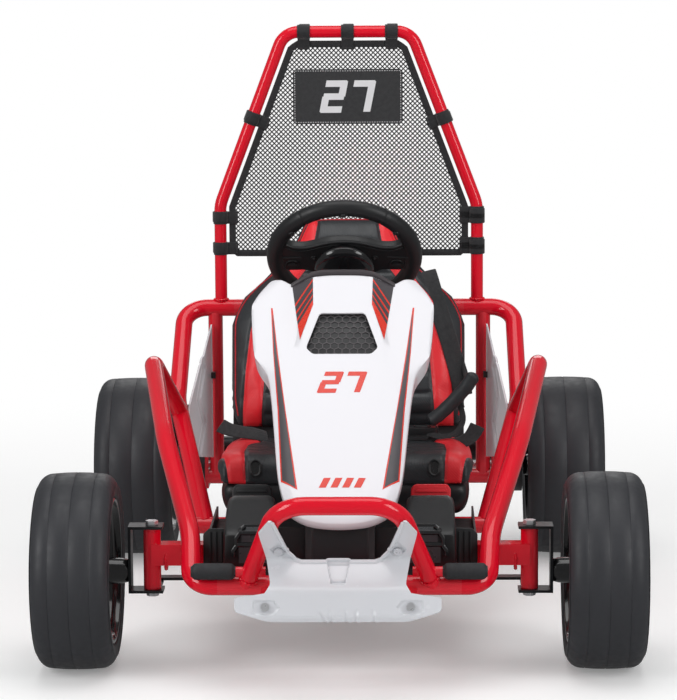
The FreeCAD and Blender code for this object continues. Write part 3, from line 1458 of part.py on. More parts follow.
def side_panels(welds):
    """Flat cover under each side rail, and the clips that hold it."""
    panel = new_body("SidePanel")
    rear_y = D["hoop_behind"] - D["panel_ahead"]
    tip = D["panel_length"]
    shape = [(0, D["panel_low"]), (0, D["bar_height"] - D["panel_top_drop"]),
             (tip, D["rail_knee_height"] - D["panel_tip_drop"]),
             (tip + D["panel_nose"], D["rail_knee_height"] - D["panel_nose_drop"]),
             (tip, D["panel_low"] + D["panel_low_rise"])]
    pad(panel, "SidePanelPad", outline(panel, "SidePanelOutline", "XZ_Plane", shape),
        D["panel_thick"])
    turn = Rotation(Vector(0, 0, 1), -90 - float(D["panel_turn"]))
    place(panel, (-D["panel_rear_half"], rear_y, 0), turn)
    finish(group("SidePanelRight", panel), "side_panel_right")
    finish(mirrored("SidePanelLeft", panel), "side_panel_left")
    turn_angle = math.radians(float(D["panel_turn"]))
    tip_x = -D["panel_rear_half"] - tip * math.sin(turn_angle)
    tip_y = rear_y - tip * math.cos(turn_angle)
    clip = D["clip_width"]
    middle = D["panel_thick"] / 2
    rear_low = D["clip_height"]
    front_low = D["rail_knee_height"] - clip * 2
    rear_block = box("RearClipBlock", (-D["post_half"] - clip, rear_y - clip / 2, rear_low),
                     (-D["post_half"], D["hoop_behind"], rear_low + clip))
    front_block = box("FrontClipBlock", (-D["rail_knee_half"], tip_y, front_low),
                      (tip_x - middle, tip_y + clip, front_low + clip))
    clips = [cut("RearClip", rear_block, welds["post"], panel),
             cut("FrontClip", front_block, welds["side_rail"], panel)]
    twins = [mirrored(item.Name + "Twin", item) for item in clips]
    finish(group("PanelClips", *clips, *twins), "panel_clips")


def check_and_write():
    """Stop on any failed object, then write one STEP file for each sub-part."""
    doc.recompute()
    for item in doc.Objects:
        if "Invalid" in item.State or "Error" in item.State:
            raise RuntimeError(f"{item.Name} failed: {item.State}")
    os.makedirs("parts", exist_ok=True)
    for item in parts:
        if item.Shape.isNull() or not item.Shape.isValid() or not item.Shape.Solids:
            raise RuntimeError(f"{item.Label} has no valid solid")
        item.Shape.exportStep(f"parts/{item.Label}.step")


wheels()
welds = floor_frame()
upper_frame(welds)
front_axle(welds)
knuckles()
tie_rod()
steering_column(welds)
steering_wheel()
bumper(welds)
floor_and_pedals()
hood()
seat(welds)
harness()
drive(welds)
net()
side_panels(welds)
check_and_write()
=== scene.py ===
"""A child's electric kart, finished: every surface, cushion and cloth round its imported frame."""

import math

import bmesh
import bpy
from mathutils import Matrix, Vector
from mathutils.bvhtree import BVHTree


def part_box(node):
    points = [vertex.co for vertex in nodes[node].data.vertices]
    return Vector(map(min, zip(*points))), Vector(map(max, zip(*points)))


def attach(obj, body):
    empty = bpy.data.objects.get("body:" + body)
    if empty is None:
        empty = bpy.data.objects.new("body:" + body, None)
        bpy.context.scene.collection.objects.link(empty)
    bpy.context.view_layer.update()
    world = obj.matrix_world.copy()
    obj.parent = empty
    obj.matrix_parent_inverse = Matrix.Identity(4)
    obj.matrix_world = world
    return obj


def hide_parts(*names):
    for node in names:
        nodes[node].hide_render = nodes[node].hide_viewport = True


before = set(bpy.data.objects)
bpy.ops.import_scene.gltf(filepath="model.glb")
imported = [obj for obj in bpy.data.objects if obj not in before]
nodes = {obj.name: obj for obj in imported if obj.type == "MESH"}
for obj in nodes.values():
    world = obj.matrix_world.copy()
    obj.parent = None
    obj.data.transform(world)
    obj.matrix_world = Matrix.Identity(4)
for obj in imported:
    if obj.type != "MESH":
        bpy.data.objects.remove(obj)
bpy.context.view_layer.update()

MM = 0.001
SIDES = {"left": 1, "right": -1}


# ---- places, in millimetres
def low_of(node):
    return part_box(node)[0] / MM


def high_of(node):
    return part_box(node)[1] / MM


def middle_of(node):
    return (low_of(node) + high_of(node)) / 2


def size_of(node):
    return high_of(node) - low_of(node)


def frame_at(origin, right, up):
    """A placement whose X is right, Y is up and Z is their cross product."""
    right = Vector(right).normalized()
    out = right.cross(Vector(up)).normalized()
    up = out.cross(right)
    turn = Matrix((right, up, out)).transposed().to_4x4()
    return Matrix.Translation(Vector(origin)) @ turn


SLOPE = math.radians(41)
ALONG_HOOD = Vector((0, math.cos(SLOPE), math.sin(SLOPE)))
BACK_LEAN = math.radians(17)
BACK_UP = Vector((0, math.sin(BACK_LEAN), math.cos(BACK_LEAN)))


# ---- paints
def linear(red, green, blue):
    """A colour given as 0 to 255 screen values, as the shader wants it."""
    def channel(value):
        value /= 255
        return value / 12.92 if value <= 0.04045 else ((value + 0.055) / 1.055) ** 2.4
    return (channel(red), channel(green), channel(blue), 1.0)


def add_node(tree, kind, inputs=None, **settings):
    """A shader node, with each input set to a value or linked to a socket."""
    item = tree.nodes.new("ShaderNode" + kind)
    for key, value in settings.items():
        setattr(item, key, value)
    for key, value in (inputs or {}).items():
        if isinstance(value, bpy.types.NodeSocket):
            tree.links.new(value, item.inputs[key])
        else:
            item.inputs[key].default_value = value
    return item


def math_node(tree, operation, first, second=0.0, third=0.0, clamp=False):
    item = add_node(tree, "Math", {0: first, 1: second, 2: third}, operation=operation,
                    use_clamp=clamp)
    return item.outputs[0]


def mixed(tree, factor, first, second):
    item = add_node(tree, "Mix", {0: factor, 6: first, 7: second}, data_type="RGBA")
    return item.outputs[2]


def place_of(tree):
    """Where a point lies on the object, in metres, which stays with the piece as it moves."""
    return add_node(tree, "TexCoord").outputs["Object"]


def noise_of(tree, scale, detail=3.0, stretch=(1, 1, 1)):
    scaled = add_node(tree, "Mapping", {"Vector": place_of(tree), "Scale": stretch})
    return add_node(tree, "TexNoise", {"Vector": scaled.outputs[0], "Scale": scale,
                                       "Detail": detail}).outputs[0]


def grain(scale, detail=2.0, stretch=(1, 1, 1)):
    """Fine uneven relief, as on moulded or painted faces."""
    return lambda tree: noise_of(tree, scale, detail, stretch)


def pebbles(scale):
    """Leather grain: rounded cells with creases between them."""
    def build(tree):
        return add_node(tree, "TexVoronoi", {"Vector": place_of(tree), "Scale": scale,
                                             "Randomness": 0.9}).outputs[0]
    return build


def ripple(tree, value, pitch):
    """A wave of height 0 to 1 along a length in metres."""
    turns = math_node(tree, "MULTIPLY", value, 2 * math.pi / pitch)
    return math_node(tree, "MULTIPLY_ADD", math_node(tree, "SINE", turns), 0.5, 0.5)


def twill(pitch):
    """Slanted cords crossed by short breaks, as in carbon-look vinyl or woven webbing."""
    def build(tree):
        axes = add_node(tree, "SeparateXYZ", {0: place_of(tree)}).outputs
        depth = math_node(tree, "SUBTRACT", axes[2], axes[1])
        first = ripple(tree, math_node(tree, "ADD", axes[0], depth), pitch)
        second = ripple(tree, math_node(tree, "SUBTRACT", axes[0], depth), pitch * 2)
        return math_node(tree, "MULTIPLY", first, math_node(tree, "MULTIPLY_ADD", second, 0.4, 0.6))
    return build


def paint(name, colour, rough, relief=None, depth=0.05, spread=0.12, mottle=9.0, rub=0.0,
          **shader_values):
    """A material of a screen colour with mottled tint and gloss, fine relief and rubbed edges."""
    colour = linear(*colour)
    item = bpy.data.materials.new(name)
    item.use_nodes = True
    tree = item.node_tree
    shader = tree.nodes["Principled BSDF"]
    for key, value in shader_values.items():
        shader.inputs[key.replace("_", " ")].default_value = value
    patches = noise_of(tree, mottle, 4.0)
    dark = tuple(channel * (1 - spread) for channel in colour[:3]) + (1.0,)
    light = tuple(min(channel * (1 + spread * 0.6), 1.0) for channel in colour[:3]) + (1.0,)
    tint = mixed(tree, patches, dark, light)
    if rub:
        edges = add_node(tree, "NewGeometry").outputs["Pointiness"]
        worn = add_node(tree, "MapRange", {0: edges, 1: 0.6, 2: 0.74, 3: 0.0, 4: rub}).outputs[0]
        pale = tuple(channel + (1 - channel) * 0.35 for channel in colour[:3]) + (1.0,)
        tint = mixed(tree, worn, tint, pale)
    tree.links.new(tint, shader.inputs["Base Color"])
    scuffs = noise_of(tree, mottle * 7, 5.0)
    gloss = add_node(tree, "MapRange", {0: scuffs, 1: 0.3, 2: 0.7, 3: rough * 0.85,
                                        4: min(rough * 1.15, 1.0)})
    tree.links.new(gloss.outputs[0], shader.inputs["Roughness"])
    if relief:
        bump = add_node(tree, "Bump", {"Strength": 0.6, "Distance": depth * MM,
                                       "Height": relief(tree)})
        tree.links.new(bump.outputs[0], shader.inputs["Normal"])
    return item


RED = (228, 14, 40)
CUSHION_RED = (240, 42, 52)
CUSHION_BLACK = (46, 49, 52)
DECAL_RED = (226, 60, 44)

PAINTS = {
    "frame_red": paint("frame_red_enamel", RED, 0.17, grain(420), 0.012, 0.07, 6.0, 0.25,
                       Specular_IOR_Level=0.3, Coat_Weight=0.5, Coat_Roughness=0.06),
    "tyre": paint("tyre_rubber", (52, 53, 57), 0.5, grain(900, 3.0), 0.05, 0.16, 14.0, 0.1,
                  Specular_IOR_Level=0.42),
    "rim_black": paint("rim_gloss_black", (24, 24, 26), 0.16, grain(500), 0.01, 0.1, 12.0,
                       0.15, Coat_Weight=0.5, Coat_Roughness=0.05),
    "shell_white": paint("shell_gloss_white", (232, 231, 236), 0.2, grain(300), 0.008, 0.02,
                         5.0, Coat_Weight=0.4, Coat_Roughness=0.08),
    # the white shell plastic made greyer: painted shade standing in for the shield's soft shading
    "shield_silver": paint("shield_satin_silver", (214, 216, 221), 0.24, grain(300), 0.008,
                           0.02, 5.0, Coat_Weight=0.4, Coat_Roughness=0.1),
    "guard_black": paint("guard_satin_black", (21, 22, 24), 0.4, pebbles(900), 0.04, 0.14,
                         10.0, 0.12),
    "plastic_black": paint("plastic_grained_black", (30, 31, 33), 0.42, pebbles(900), 0.05,
                           0.14, 10.0, 0.12),
    "trim_grey": paint("trim_grained_grey", (72, 67, 70), 0.45, pebbles(800), 0.05, 0.1,
                       10.0, 0.1),
    "steel_black": paint("steel_oxide_black", (40, 41, 44), 0.33, grain(600), 0.03, 0.2,
                         16.0, 0.5, Metallic=0.65),
    "steel_bright": paint("steel_zinc_bright", (222, 223, 226), 0.3,
                          grain(500, 2.0, (1, 1, 6)), 0.02, 0.12, 18.0, Metallic=0.7),
    "seat_leather": paint("vinyl_grained_black", CUSHION_BLACK, 0.46, pebbles(700), 0.12, 0.1),
    "mesh_fabric": paint("net_woven_black", (34, 34, 37), 0.7, twill(0.0012), 0.15, 0.15,
                         20.0, Sheen_Weight=0.2),
    "webbing": paint("webbing_woven_black", (30, 31, 34), 0.72, twill(0.0022), 0.35, 0.18,
                     24.0, 0.15, Sheen_Weight=0.3),
    "foam_black": paint("foam_fine_black", (44, 45, 48), 0.68, grain(1400, 4.0), 0.18, 0.12,
                        16.0, 0.15),
    "brake_red": paint("brake_satin_red", (214, 30, 42), 0.35, pebbles(800), 0.05, 0.08,
                       10.0, 0.15),
    "decal_red": paint("decal_film_red", DECAL_RED, 0.28, grain(500), 0.01, 0.04, 8.0),
    "decal_grey": paint("decal_film_grey", (74, 70, 74), 0.32, grain(500), 0.01, 0.08, 8.0),
    "carbon": paint("carbon_look_plastic", (48, 50, 53), 0.3, twill(0.0035), 0.4, 0.1, 12.0,
                    0.1),
    "stitch": paint("stitching_thread_red", (190, 26, 40), 0.6, twill(0.0008), 0.2, 0.12,
                    30.0),
    "patch_white": paint("printed_fabric_white", (226, 226, 228), 0.6, twill(0.001), 0.1,
                         0.05, 12.0),
}


# ---- mesh parts
class Form:
    """Points and faces of one piece, in millimetres, gathered from simple parts."""

    def __init__(self):
        self.points = []
        self.faces = []
        self.paints = []

    def add(self, part, at=None, tint=0):
        points, faces = part
        start = len(self.points)
        at = at or Matrix.Identity(4)
        self.points += [at @ Vector(p) for p in points]
        self.faces += [tuple(start + i for i in face) for face in faces]
        self.paints += [tint] * len(faces)
        return self


def strip(rows, closed_rows=False, closed_columns=False):
    """Quads between rows of points that all hold as many points."""
    count = len(rows[0])
    points = [p for row in rows for p in row]
    faces = []
    for r in range(len(rows) if closed_rows else len(rows) - 1):
        below = (r + 1) % len(rows)
        for c in range(count if closed_columns else count - 1):
            beside = (c + 1) % count
            faces.append((r * count + c, r * count + beside, below * count + beside,
                          below * count + c))
    return points, faces


def loft(rings):
    """A closed skin over rings of points, with flat ends."""
    points, faces = strip(rings, closed_columns=True)
    count = len(rings[0])
    faces.append(tuple(reversed(range(count))))
    faces.append(tuple(range(len(points) - count, len(points))))
    return points, faces


def prism(outline, low, high):
    return loft([[(x, y, z) for x, y in outline] for z in (low, high)])


def round_of(count):
    """Points of a unit circle, as (cosine, sine)."""
    angles = [2 * math.pi * k / count for k in range(count)]
    return [(math.cos(angle), math.sin(angle)) for angle in angles]


def lathe(profile, count=72):
    """A closed profile of (station, radius) turned about X."""
    rows = [[(x, r * c, r * s) for x, r in profile] for c, s in round_of(count)]
    return strip(rows, closed_rows=True, closed_columns=True)


def spun(profile, count=32):
    """An open profile of (radius, height) turned about Z, whose ends lie on the axis."""
    return loft([[(r * c, r * s, z) for c, s in round_of(count)] for r, z in profile])


def ring_points(centre, radius, first, last, count):
    """Points of an arc about centre, from one angle in degrees to another."""
    angles = [math.radians(first + (last - first) * k / count) for k in range(count + 1)]
    return [(centre[0] + radius * math.cos(a), centre[1] + radius * math.sin(a)) for a in angles]


def smooth_path(points, steps=6):
    """A rounded line through given points."""
    line = [Vector(p) for p in points]
    padded = [line[0] * 2 - line[1]] + line + [line[-1] * 2 - line[-2]]
    result = []
    for k in range(1, len(padded) - 2):
        a, b, c, d = padded[k - 1:k + 3]
        for step in range(steps):
            t = step / steps
            result.append(0.5 * (2 * b + (c - a) * t + (2 * a - 5 * b + 4 * c - d) * t ** 2
                                 + (3 * b - a - 3 * c + d) * t ** 3))
    return result + [line[-1]]


def swept(path, section, facing=(0, 0, 1), closed=False):
    """A section of (across, outward) points carried along a path, its outward side to `facing`."""
    rings = []
    total = len(path)
    for k, at in enumerate(path):
        ahead = path[(k + 1) % total] if closed or k < total - 1 else at
        behind = path[k - 1] if closed or k else at
        way = (ahead - behind).normalized()
        out = Vector(facing[k]) if isinstance(facing, list) else Vector(facing)
        across = way.cross(out).normalized()
        out = across.cross(way)
        rings.append([at + across * x + out * y for x, y in section])
    if closed:
        return strip(rings, closed_rows=True, closed_columns=True)
    return loft(rings)


def circle(radius, count=12):
    return [(radius * c, radius * s) for c, s in round_of(count)]


def to_side(line, side):
    """A line of (x, y) points, mirrored about the middle when side is -1."""
    return [(side * x, y) for x, y in line]


def both(half):
    """A closed outline from its right half."""
    return list(half) + [(-x, y) for x, y in reversed(half) if x > 0]


def share_of(value, low, high):
    return max(0, min(1, (value - low) / (high - low)))


def ramp(value, low, high):
    """0 at low, 1 at high, with a soft start and end."""
    share = share_of(value, low, high)
    return share * share * (3 - 2 * share)


def round_end(share, least):
    """How thick a rounded end is, a share of the way into it."""
    return math.sqrt(max(1 - max(1 - share, 0) ** 2, least))


def notch(distance, width, depth):
    return depth * math.exp(-(distance / width) ** 2)


def flat_section(width, thick):
    """A webbing's section: flat, with thin selvedges."""
    half = width / 2
    rise = thick / 2
    return [(-half, -rise * 0.4), (-half + 1.2, -rise), (half - 1.2, -rise), (half, -rise * 0.4),
            (half, rise * 0.4), (half - 1.2, rise), (-half + 1.2, rise), (-half, rise * 0.4)]


def mesh_object(name, form):
    mesh = bpy.data.meshes.new(name)
    mesh.from_pydata([tuple(Vector(p) * MM) for p in form.points], [], form.faces)
    mesh.polygons.foreach_set("material_index", form.paints)
    work = bmesh.new()
    work.from_mesh(mesh)
    bmesh.ops.recalc_face_normals(work, faces=work.faces)
    work.to_mesh(mesh)
    work.free()
    item = bpy.data.objects.new(name, mesh)
    bpy.context.scene.collection.objects.link(item)
    return item


def piece(name, part, at=None):
    return mesh_object(name, Form().add(part, at))


def with_modifier(item, kind, **settings):
    modifier = item.modifiers.new(kind.lower(), kind)
    for key, value in settings.items():
        setattr(modifier, key, value)
    return modifier


def thickened(item, sheet, offset=0):
    """Gives a surface its thickness: about its middle at 0, inward at -1."""
    return with_modifier(item, "SOLIDIFY", thickness=sheet * MM, offset=offset)


def softened(item, levels=1):
    return with_modifier(item, "SUBSURF", levels=levels)


def applied(item):
    """The item with its modifiers made part of its mesh."""
    graph = bpy.context.evaluated_depsgraph_get()
    mesh = bpy.data.meshes.new_from_object(item.evaluated_get(graph))
    item.modifiers.clear()
    item.data = mesh
    return item


def rounded(item, width, steps=2, angle=35):
    with_modifier(item, "BEVEL", width=width * MM, segments=steps, limit_method="ANGLE",
                  angle_limit=math.radians(angle))
    return item


def dressed(item, paints, stands_for=(), sharp=38, slot=None, body="chassis"):
    """Gives a finished mesh its paints, its body and the nodes that it stands for.

    The slot argument is not used.
    """
    paints = paints if isinstance(paints, list) else [paints]
    applied(item)
    tints = [face.material_index for face in item.data.polygons]
    item.data.materials.clear()
    for name in paints:
        item.data.materials.append(PAINTS[name] if isinstance(name, str) else name)
    item.data.polygons.foreach_set("material_index", tints)
    item.data.polygons.foreach_set("use_smooth", [True] * len(item.data.polygons))
    item.data.set_sharp_from_angle(angle=math.radians(sharp))
    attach(item, body)
    slot or paints[0]
    if stands_for:
        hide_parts(*stands_for)
    return item


def surface_of(item, at=None):
    """A search tree over a piece, in millimetres of a placement or of the part."""
    local = at.inverted() if at else Matrix.Identity(4)
    return BVHTree.FromPolygons([local @ (v.co / MM) for v in item.data.vertices],
                                [tuple(p.vertices) for p in item.data.polygons])


# ---- CAD nodes that keep their shape
def paint_frame():
    """Each carried node takes the paint of its material slot."""
    for item in nodes.values():
        slots = [m.name for m in item.data.materials if m]
        word = next((key for key in PAINTS for name in slots if key in name), "plastic_black")
        item.data.materials.clear()
        item.data.materials.append(PAINTS[word])


# ---- wheels
def tyre_profile(radius, half, seat):
    """A slick's section: beads, ribbed sidewalls, shoulder arcs, crown with three faint lines."""
    shoulder = 21.0
    rib = seat + (radius - seat) * 0.45
    crown = 1.6
    side = [(half - 7, seat + 0.3), (half - 2.5, seat + 2), (half - 0.8, seat + 6),
            (half - 0.4, rib - 3), (half + 0.7, rib - 1.2), (half + 0.7, rib + 1.2),
            (half - 0.3, rib + 3)]
    arc = ring_points((half - shoulder, radius - crown - shoulder), shoulder, 8, 84, 7)
    line = half - shoulder - 5
    tread = [(line + 1.1, radius - 1.25), (line, radius - 2.0), (line - 1.1, radius - 1.15),
             (half * 0.3, radius - 0.3), (1.2, radius), (0, radius - 0.9)]
    right = side + arc + tread
    left = [(-x, r) for x, r in reversed(right[:-1])]
    return right + left


def rim_form(half, seat, side, spokes=10):
    """Barrel with stepped lips and a spoked disc with long windows; wheel() adds the hub and its
    bolts.
    """
    edge = half - 2.0
    form = Form()
    form.add(lathe([(side * x, r) for x, r in (
        (-edge, seat - 3), (-edge + 1, seat), (edge - 1, seat), (edge, seat - 3),
        (edge - 1.5, seat - 5.5), (edge - 9, seat - 6), (edge - 12, seat - 10),
        (edge - 30, seat - 12), (12 - edge, seat - 12), (10 - edge, seat - 8),
        (4 - edge, seat - 5.5), (1 - edge, seat - 5.5))]))
    disc = edge - 33.0
    rim_in = seat - 11.0
    hub = 27.0
    radii = [hub - 8, hub + 3, hub + 9, (hub + rim_in) / 2, rim_in - 11, rim_in - 5, rim_in + 2]
    dish = [7.0, 6.0, 4.5, 1.0, -1.5, -2.0, -1.0]
    columns = 6
    total = spokes * columns
    turns = round_of(total)
    turns = turns[-columns // 2:] + turns[:-columns // 2]
    points, faces = strip([[(side * (disc + rise), radius * c, radius * s) for c, s in turns]
                           for radius, rise in zip(radii, dish)], closed_columns=True)

    def in_window(face):
        row, column = divmod(face[0], total)
        return row in (2, 3) and column % columns not in (0, columns - 1)

    return form, (points, [face for face in faces if not in_window(face)]), disc


def wheel(end, word, side):
    """One tyre and one rim, turned on the axle's line."""
    tyre_node = f"{end}_tyre_{word}"
    rim_node = f"{end}_rim_{word}"
    body = f"wheel_{end}_{word}"
    middle = middle_of(tyre_node)
    size = size_of(tyre_node)
    half = size.x / 2
    radius = size.z / 2
    seat = size_of(rim_node).z / 2
    at = Matrix.Translation(middle)
    rubber = piece(f"{tyre_node}_slick", lathe(tyre_profile(radius, half, seat), 128), at)
    dressed(rubber, "tyre", [tyre_node], 50, body=body)

    form, disc_part, disc = rim_form(half, seat, side)
    plate = piece(f"{rim_node}_disc", disc_part, at)
    thickened(plate, 7)
    softened(plate)
    dressed(plate, "rim_black", body=body)

    hub_out = side * (disc + 9)
    hub_in = (low_of(rim_node) if side > 0 else high_of(rim_node)).x - middle.x
    bore = 9.5 if end == "rear" else 7.0
    form.add(lathe([(hub_in, bore), (hub_in, 16), (hub_in + side * 8, 18), (side * (disc - 6), 22),
                    (side * (disc - 2), 30), (side * (disc + 5), 30), (hub_out, 22),
                    (hub_out, bore)], 48))
    for y, z in circle(25, 6):
        turn = frame_at((side * (disc + 4), y, z), (0, 0, 1), (0, side, 0))
        form.add(prism(circle(4.6, 6), -2, 6), turn, 1)
    shifted = Form().add((form.points, form.faces), at)
    shifted.paints = form.paints
    barrel = rounded(mesh_object(f"{rim_node}_barrel", shifted), 0.8)
    dressed(barrel, ["rim_black", "steel_bright"], [rim_node], body=body)


# ---- hood
HOOD_EDGE_ROUND = 4.0
HOOD_FOOT_DROP = 28.7
hood_low = low_of("hood_shell")
HOOD_FOOT = Vector((0, hood_low.y - HOOD_EDGE_ROUND, hood_low.z + HOOD_FOOT_DROP))
HOOD = frame_at(HOOD_FOOT, (1, 0, 0), ALONG_HOOD)


def hood_rows():
    """Right half of the hood's upper skin as rows of (across, along, height), foot to brow.

    The columns are the middle, the vent's edge, the scoop's edge, the valley, the lobe's crown
    and the outer edge.
    """
    return [
        [(0, 5, -4), (20, 6, -4), (38, 9, -4), (50, 14, -5), (62, 22, -6), (74, 35, -8)],
        [(0, 14, 2), (20, 15, 2), (40, 18, 1.5), (54, 24, 1), (67, 34, 0), (80, 50, -4)],
        [(0, 48, 6), (26, 48, 6), (46, 50, 5), (60, 54, 4), (73, 60, 2.5), (85, 70, -2)],
        [(0, 95, 8), (30, 95, 7.5), (52, 95, 6), (66, 95, 4.5), (78, 95, 3), (90, 95, -2)],
        [(0, 180, 9), (36, 180, 8.5), (57, 180, 6.5), (70, 180, 5), (83, 180, 3), (96, 180, -2)],
        [(0, 262, 9), (44, 262, 8.5), (60, 262, 7), (74, 262, 5), (89, 262, 3), (104, 262, -2)],
        [(0, 300, 9), (47, 300, 9), (61, 302, 8), (74, 296, 5.5), (92, 290, 4), (109, 284, -1)],
        [(0, 322, 10), (53, 326, 10), (62, 334, 9), (70, 322, 6), (98, 314, 5), (129, 310, 0)],
        [(0, 352, 11), (44, 352, 12), (54, 362, 12), (66, 352, 4), (100, 352, 6), (133, 362, 0)],
        [(0, 388, 13), (33, 388, 14), (45, 396, 14), (69, 392, 2), (103, 398, 6), (136.5, 414, -1)],
        [(0, 430, 14), (25, 430, 14), (44, 430, 14), (74, 428, 1.5), (104, 436, 5), (124, 441, -1)],
        [(0, 461, 14), (25, 461, 14), (45, 458, 13.5), (77, 451, 1.5), (92, 465, 3), (108, 464, -2)],
    ]


def crease(mesh, chosen, amount):
    """Sharpens the chosen edges against the smoothing that follows."""
    name = "crease_edge"
    layer = mesh.attributes.get(name) or mesh.attributes.new(name, "FLOAT", "EDGE")
    for edge in mesh.edges:
        if chosen(edge):
            layer.data[edge.index].value = amount


def hood_grid():
    """The hood's whole grid: its skin and, round it, the edge turned down and inward."""
    rows = [[(-x, s, n) for x, s, n in reversed(half[1:])] + half for half in hood_rows()]
    width = len(rows[0])
    points, faces = strip(rows)
    rim = [r * width for r in range(len(rows))]
    rim += [(len(rows) - 1) * width + c for c in range(1, width)]
    rim += [r * width + width - 1 for r in reversed(range(len(rows) - 1))]
    rim += reversed(range(1, width - 1))
    centre = Vector((0, 230, 0))
    for drop, inward in ((7.0, -1.5), (1.0, 3.0)):
        start = len(points)
        for index in rim:
            x, s, n = points[index]
            depth = drop if drop > 1 else 9.0 + 17.0 * share_of(s, 20, 140)
            away = (Vector((x, s, 0)) - centre).normalized()
            points.append((x - away.x * inward, s - away.y * inward, n - depth))
        count = len(rim)
        for k in range(count):
            after = (k + 1) % count
            faces.append((rim[k], rim[after], start + after, start + k))
        rim = list(range(start, start + count))
    return points, faces, len(rows), width


def hood_creases(mesh, rows, width):
    """Keeps the scoop's edges, the outer edge, the brow and the foot from rounding away."""
    last = rows - 1
    middle = width // 2
    scoop = 7

    def along(edge, columns, first_row):
        first, second = edge.vertices
        return (max(first, second) < rows * width and first % width == second % width
                and first % width in columns and min(first, second) // width >= first_row)

    crease(mesh, lambda e: along(e, (middle - 2, middle + 2), scoop), 0.75)
    crease(mesh, lambda e: along(e, (middle - 3, middle + 3), scoop), 0.7)
    crease(mesh, lambda e: along(e, (0, width - 1), 0), 0.8)
    crease(mesh, lambda e: all(v // width == last for v in e.vertices), 0.8)
    crease(mesh, lambda e: max(e.vertices) < width, 0.6)
    corners = mesh.attributes.new("crease_vert", "FLOAT", "POINT")
    for row in (0, scoop, 9, last):
        for column in (0, width - 1):
            corners.data[row * width + column].value = 0.75


def hood_shell():
    """Lofted skin with its scoop, lobes and turned-down edge, opened for the vent."""
    points, faces, rows, width = hood_grid()
    skin = piece("hood_skin", (points, faces), HOOD)
    hood_creases(skin.data, rows, width)
    softened(skin, 3)
    applied(skin)
    tree = surface_of(skin, HOOD)
    thickened(skin, HOOD_SHEET, -1)
    cutter = piece("vent_cutter", prism(both(VENT), -20, 40), HOOD)
    rounded(cutter, VENT_CORNER, 3)
    with_modifier(skin, "BOOLEAN", operation="DIFFERENCE", object=cutter, solver="EXACT")
    dressed(skin, "shell_white", ["hood_shell"], 45)
    bpy.data.objects.remove(cutter)
    return tree


HOOD_SHEET = 2.4
VENT_CORNER = 5.0
VENT = [(43, 309), (53, 321), (33.5, 386)]


def on_hood(skin, x, s, lift):
    """A place above the hood's skin, straight over (x, s)."""
    hit = skin.ray_cast(Vector((x, s, 80)), Vector((0, 0, -1)))
    height = hit[0].z if hit[0] else 0.0
    return Vector((x, s, height + lift))


def decal(form, skin, first, second, tint, lift, steps=8):
    """A thin film on the hood between two lines with as many points, first to second."""
    line_a, line_b = ([Vector(p) for p in line] for line in (first, second))
    rows = []
    for k in range(len(line_a) - 1):
        for step in range(steps + (k == len(line_a) - 2)):
            t = step / steps
            a = line_a[k].lerp(line_a[k + 1], t)
            b = line_b[k].lerp(line_b[k + 1], t)
            rows.append([a.lerp(b, j / steps) for j in range(steps + 1)])
    placed = [[on_hood(skin, p.x, p.y, lift) for p in row] for row in rows]
    form.add(strip(placed), HOOD, tint)


def quad_on(corners, low, high):
    """A slice across a four-cornered patch: two lines between shares of its two long sides."""
    a, b, c, d = (Vector(p) for p in corners)
    return ([a.lerp(b, low[0]), a.lerp(b, low[1])], [d.lerp(c, high[0]), d.lerp(c, high[1])])


def digit_bars(figure):
    """Strokes of a plain block figure in a box 5 wide and 8 high, as (start, end) of the bars."""
    bars = {"top": ((0, 7.4), (5, 7.4)), "middle": ((0, 4), (5, 4)), "bottom": ((0, 0.6), (5, 0.6)),
            "high_left": ((0.6, 4), (0.6, 8)), "high_right": ((4.4, 4), (4.4, 8)),
            "low_left": ((0.6, 0), (0.6, 4)), "low_right": ((4.4, 0), (4.4, 4))}
    used = {"2": ("top", "high_right", "middle", "low_left", "bottom"),
            "7": ("top", "high_right", "low_right")}
    return [bars[word] for word in used[figure]]


def number_strokes(text, width, height, slant, gap, thick=1.7):
    """Each stroke of a number as four corners about the number's middle."""
    unit_x = width / 5
    unit_y = height / 8
    strokes = []
    total = len(text) * width + (len(text) - 1) * gap
    for place, figure in enumerate(text):
        shift = place * (width + gap) - total / 2
        for (x0, y0), (x1, y1) in digit_bars(figure):
            across = y0 == y1
            dx, dy = (0, thick / 2) if across else (thick / 2, 0)
            corners = [(x0 - dx, y0 - dy), (x1 - dx, y1 - dy), (x1 + dx, y1 + dy),
                       (x0 + dx, y0 + dy)]
            strokes.append([(shift + x * unit_x + slant * (y - 4) * unit_y, (y - 4) * unit_y)
                            for x, y in corners])
    return strokes


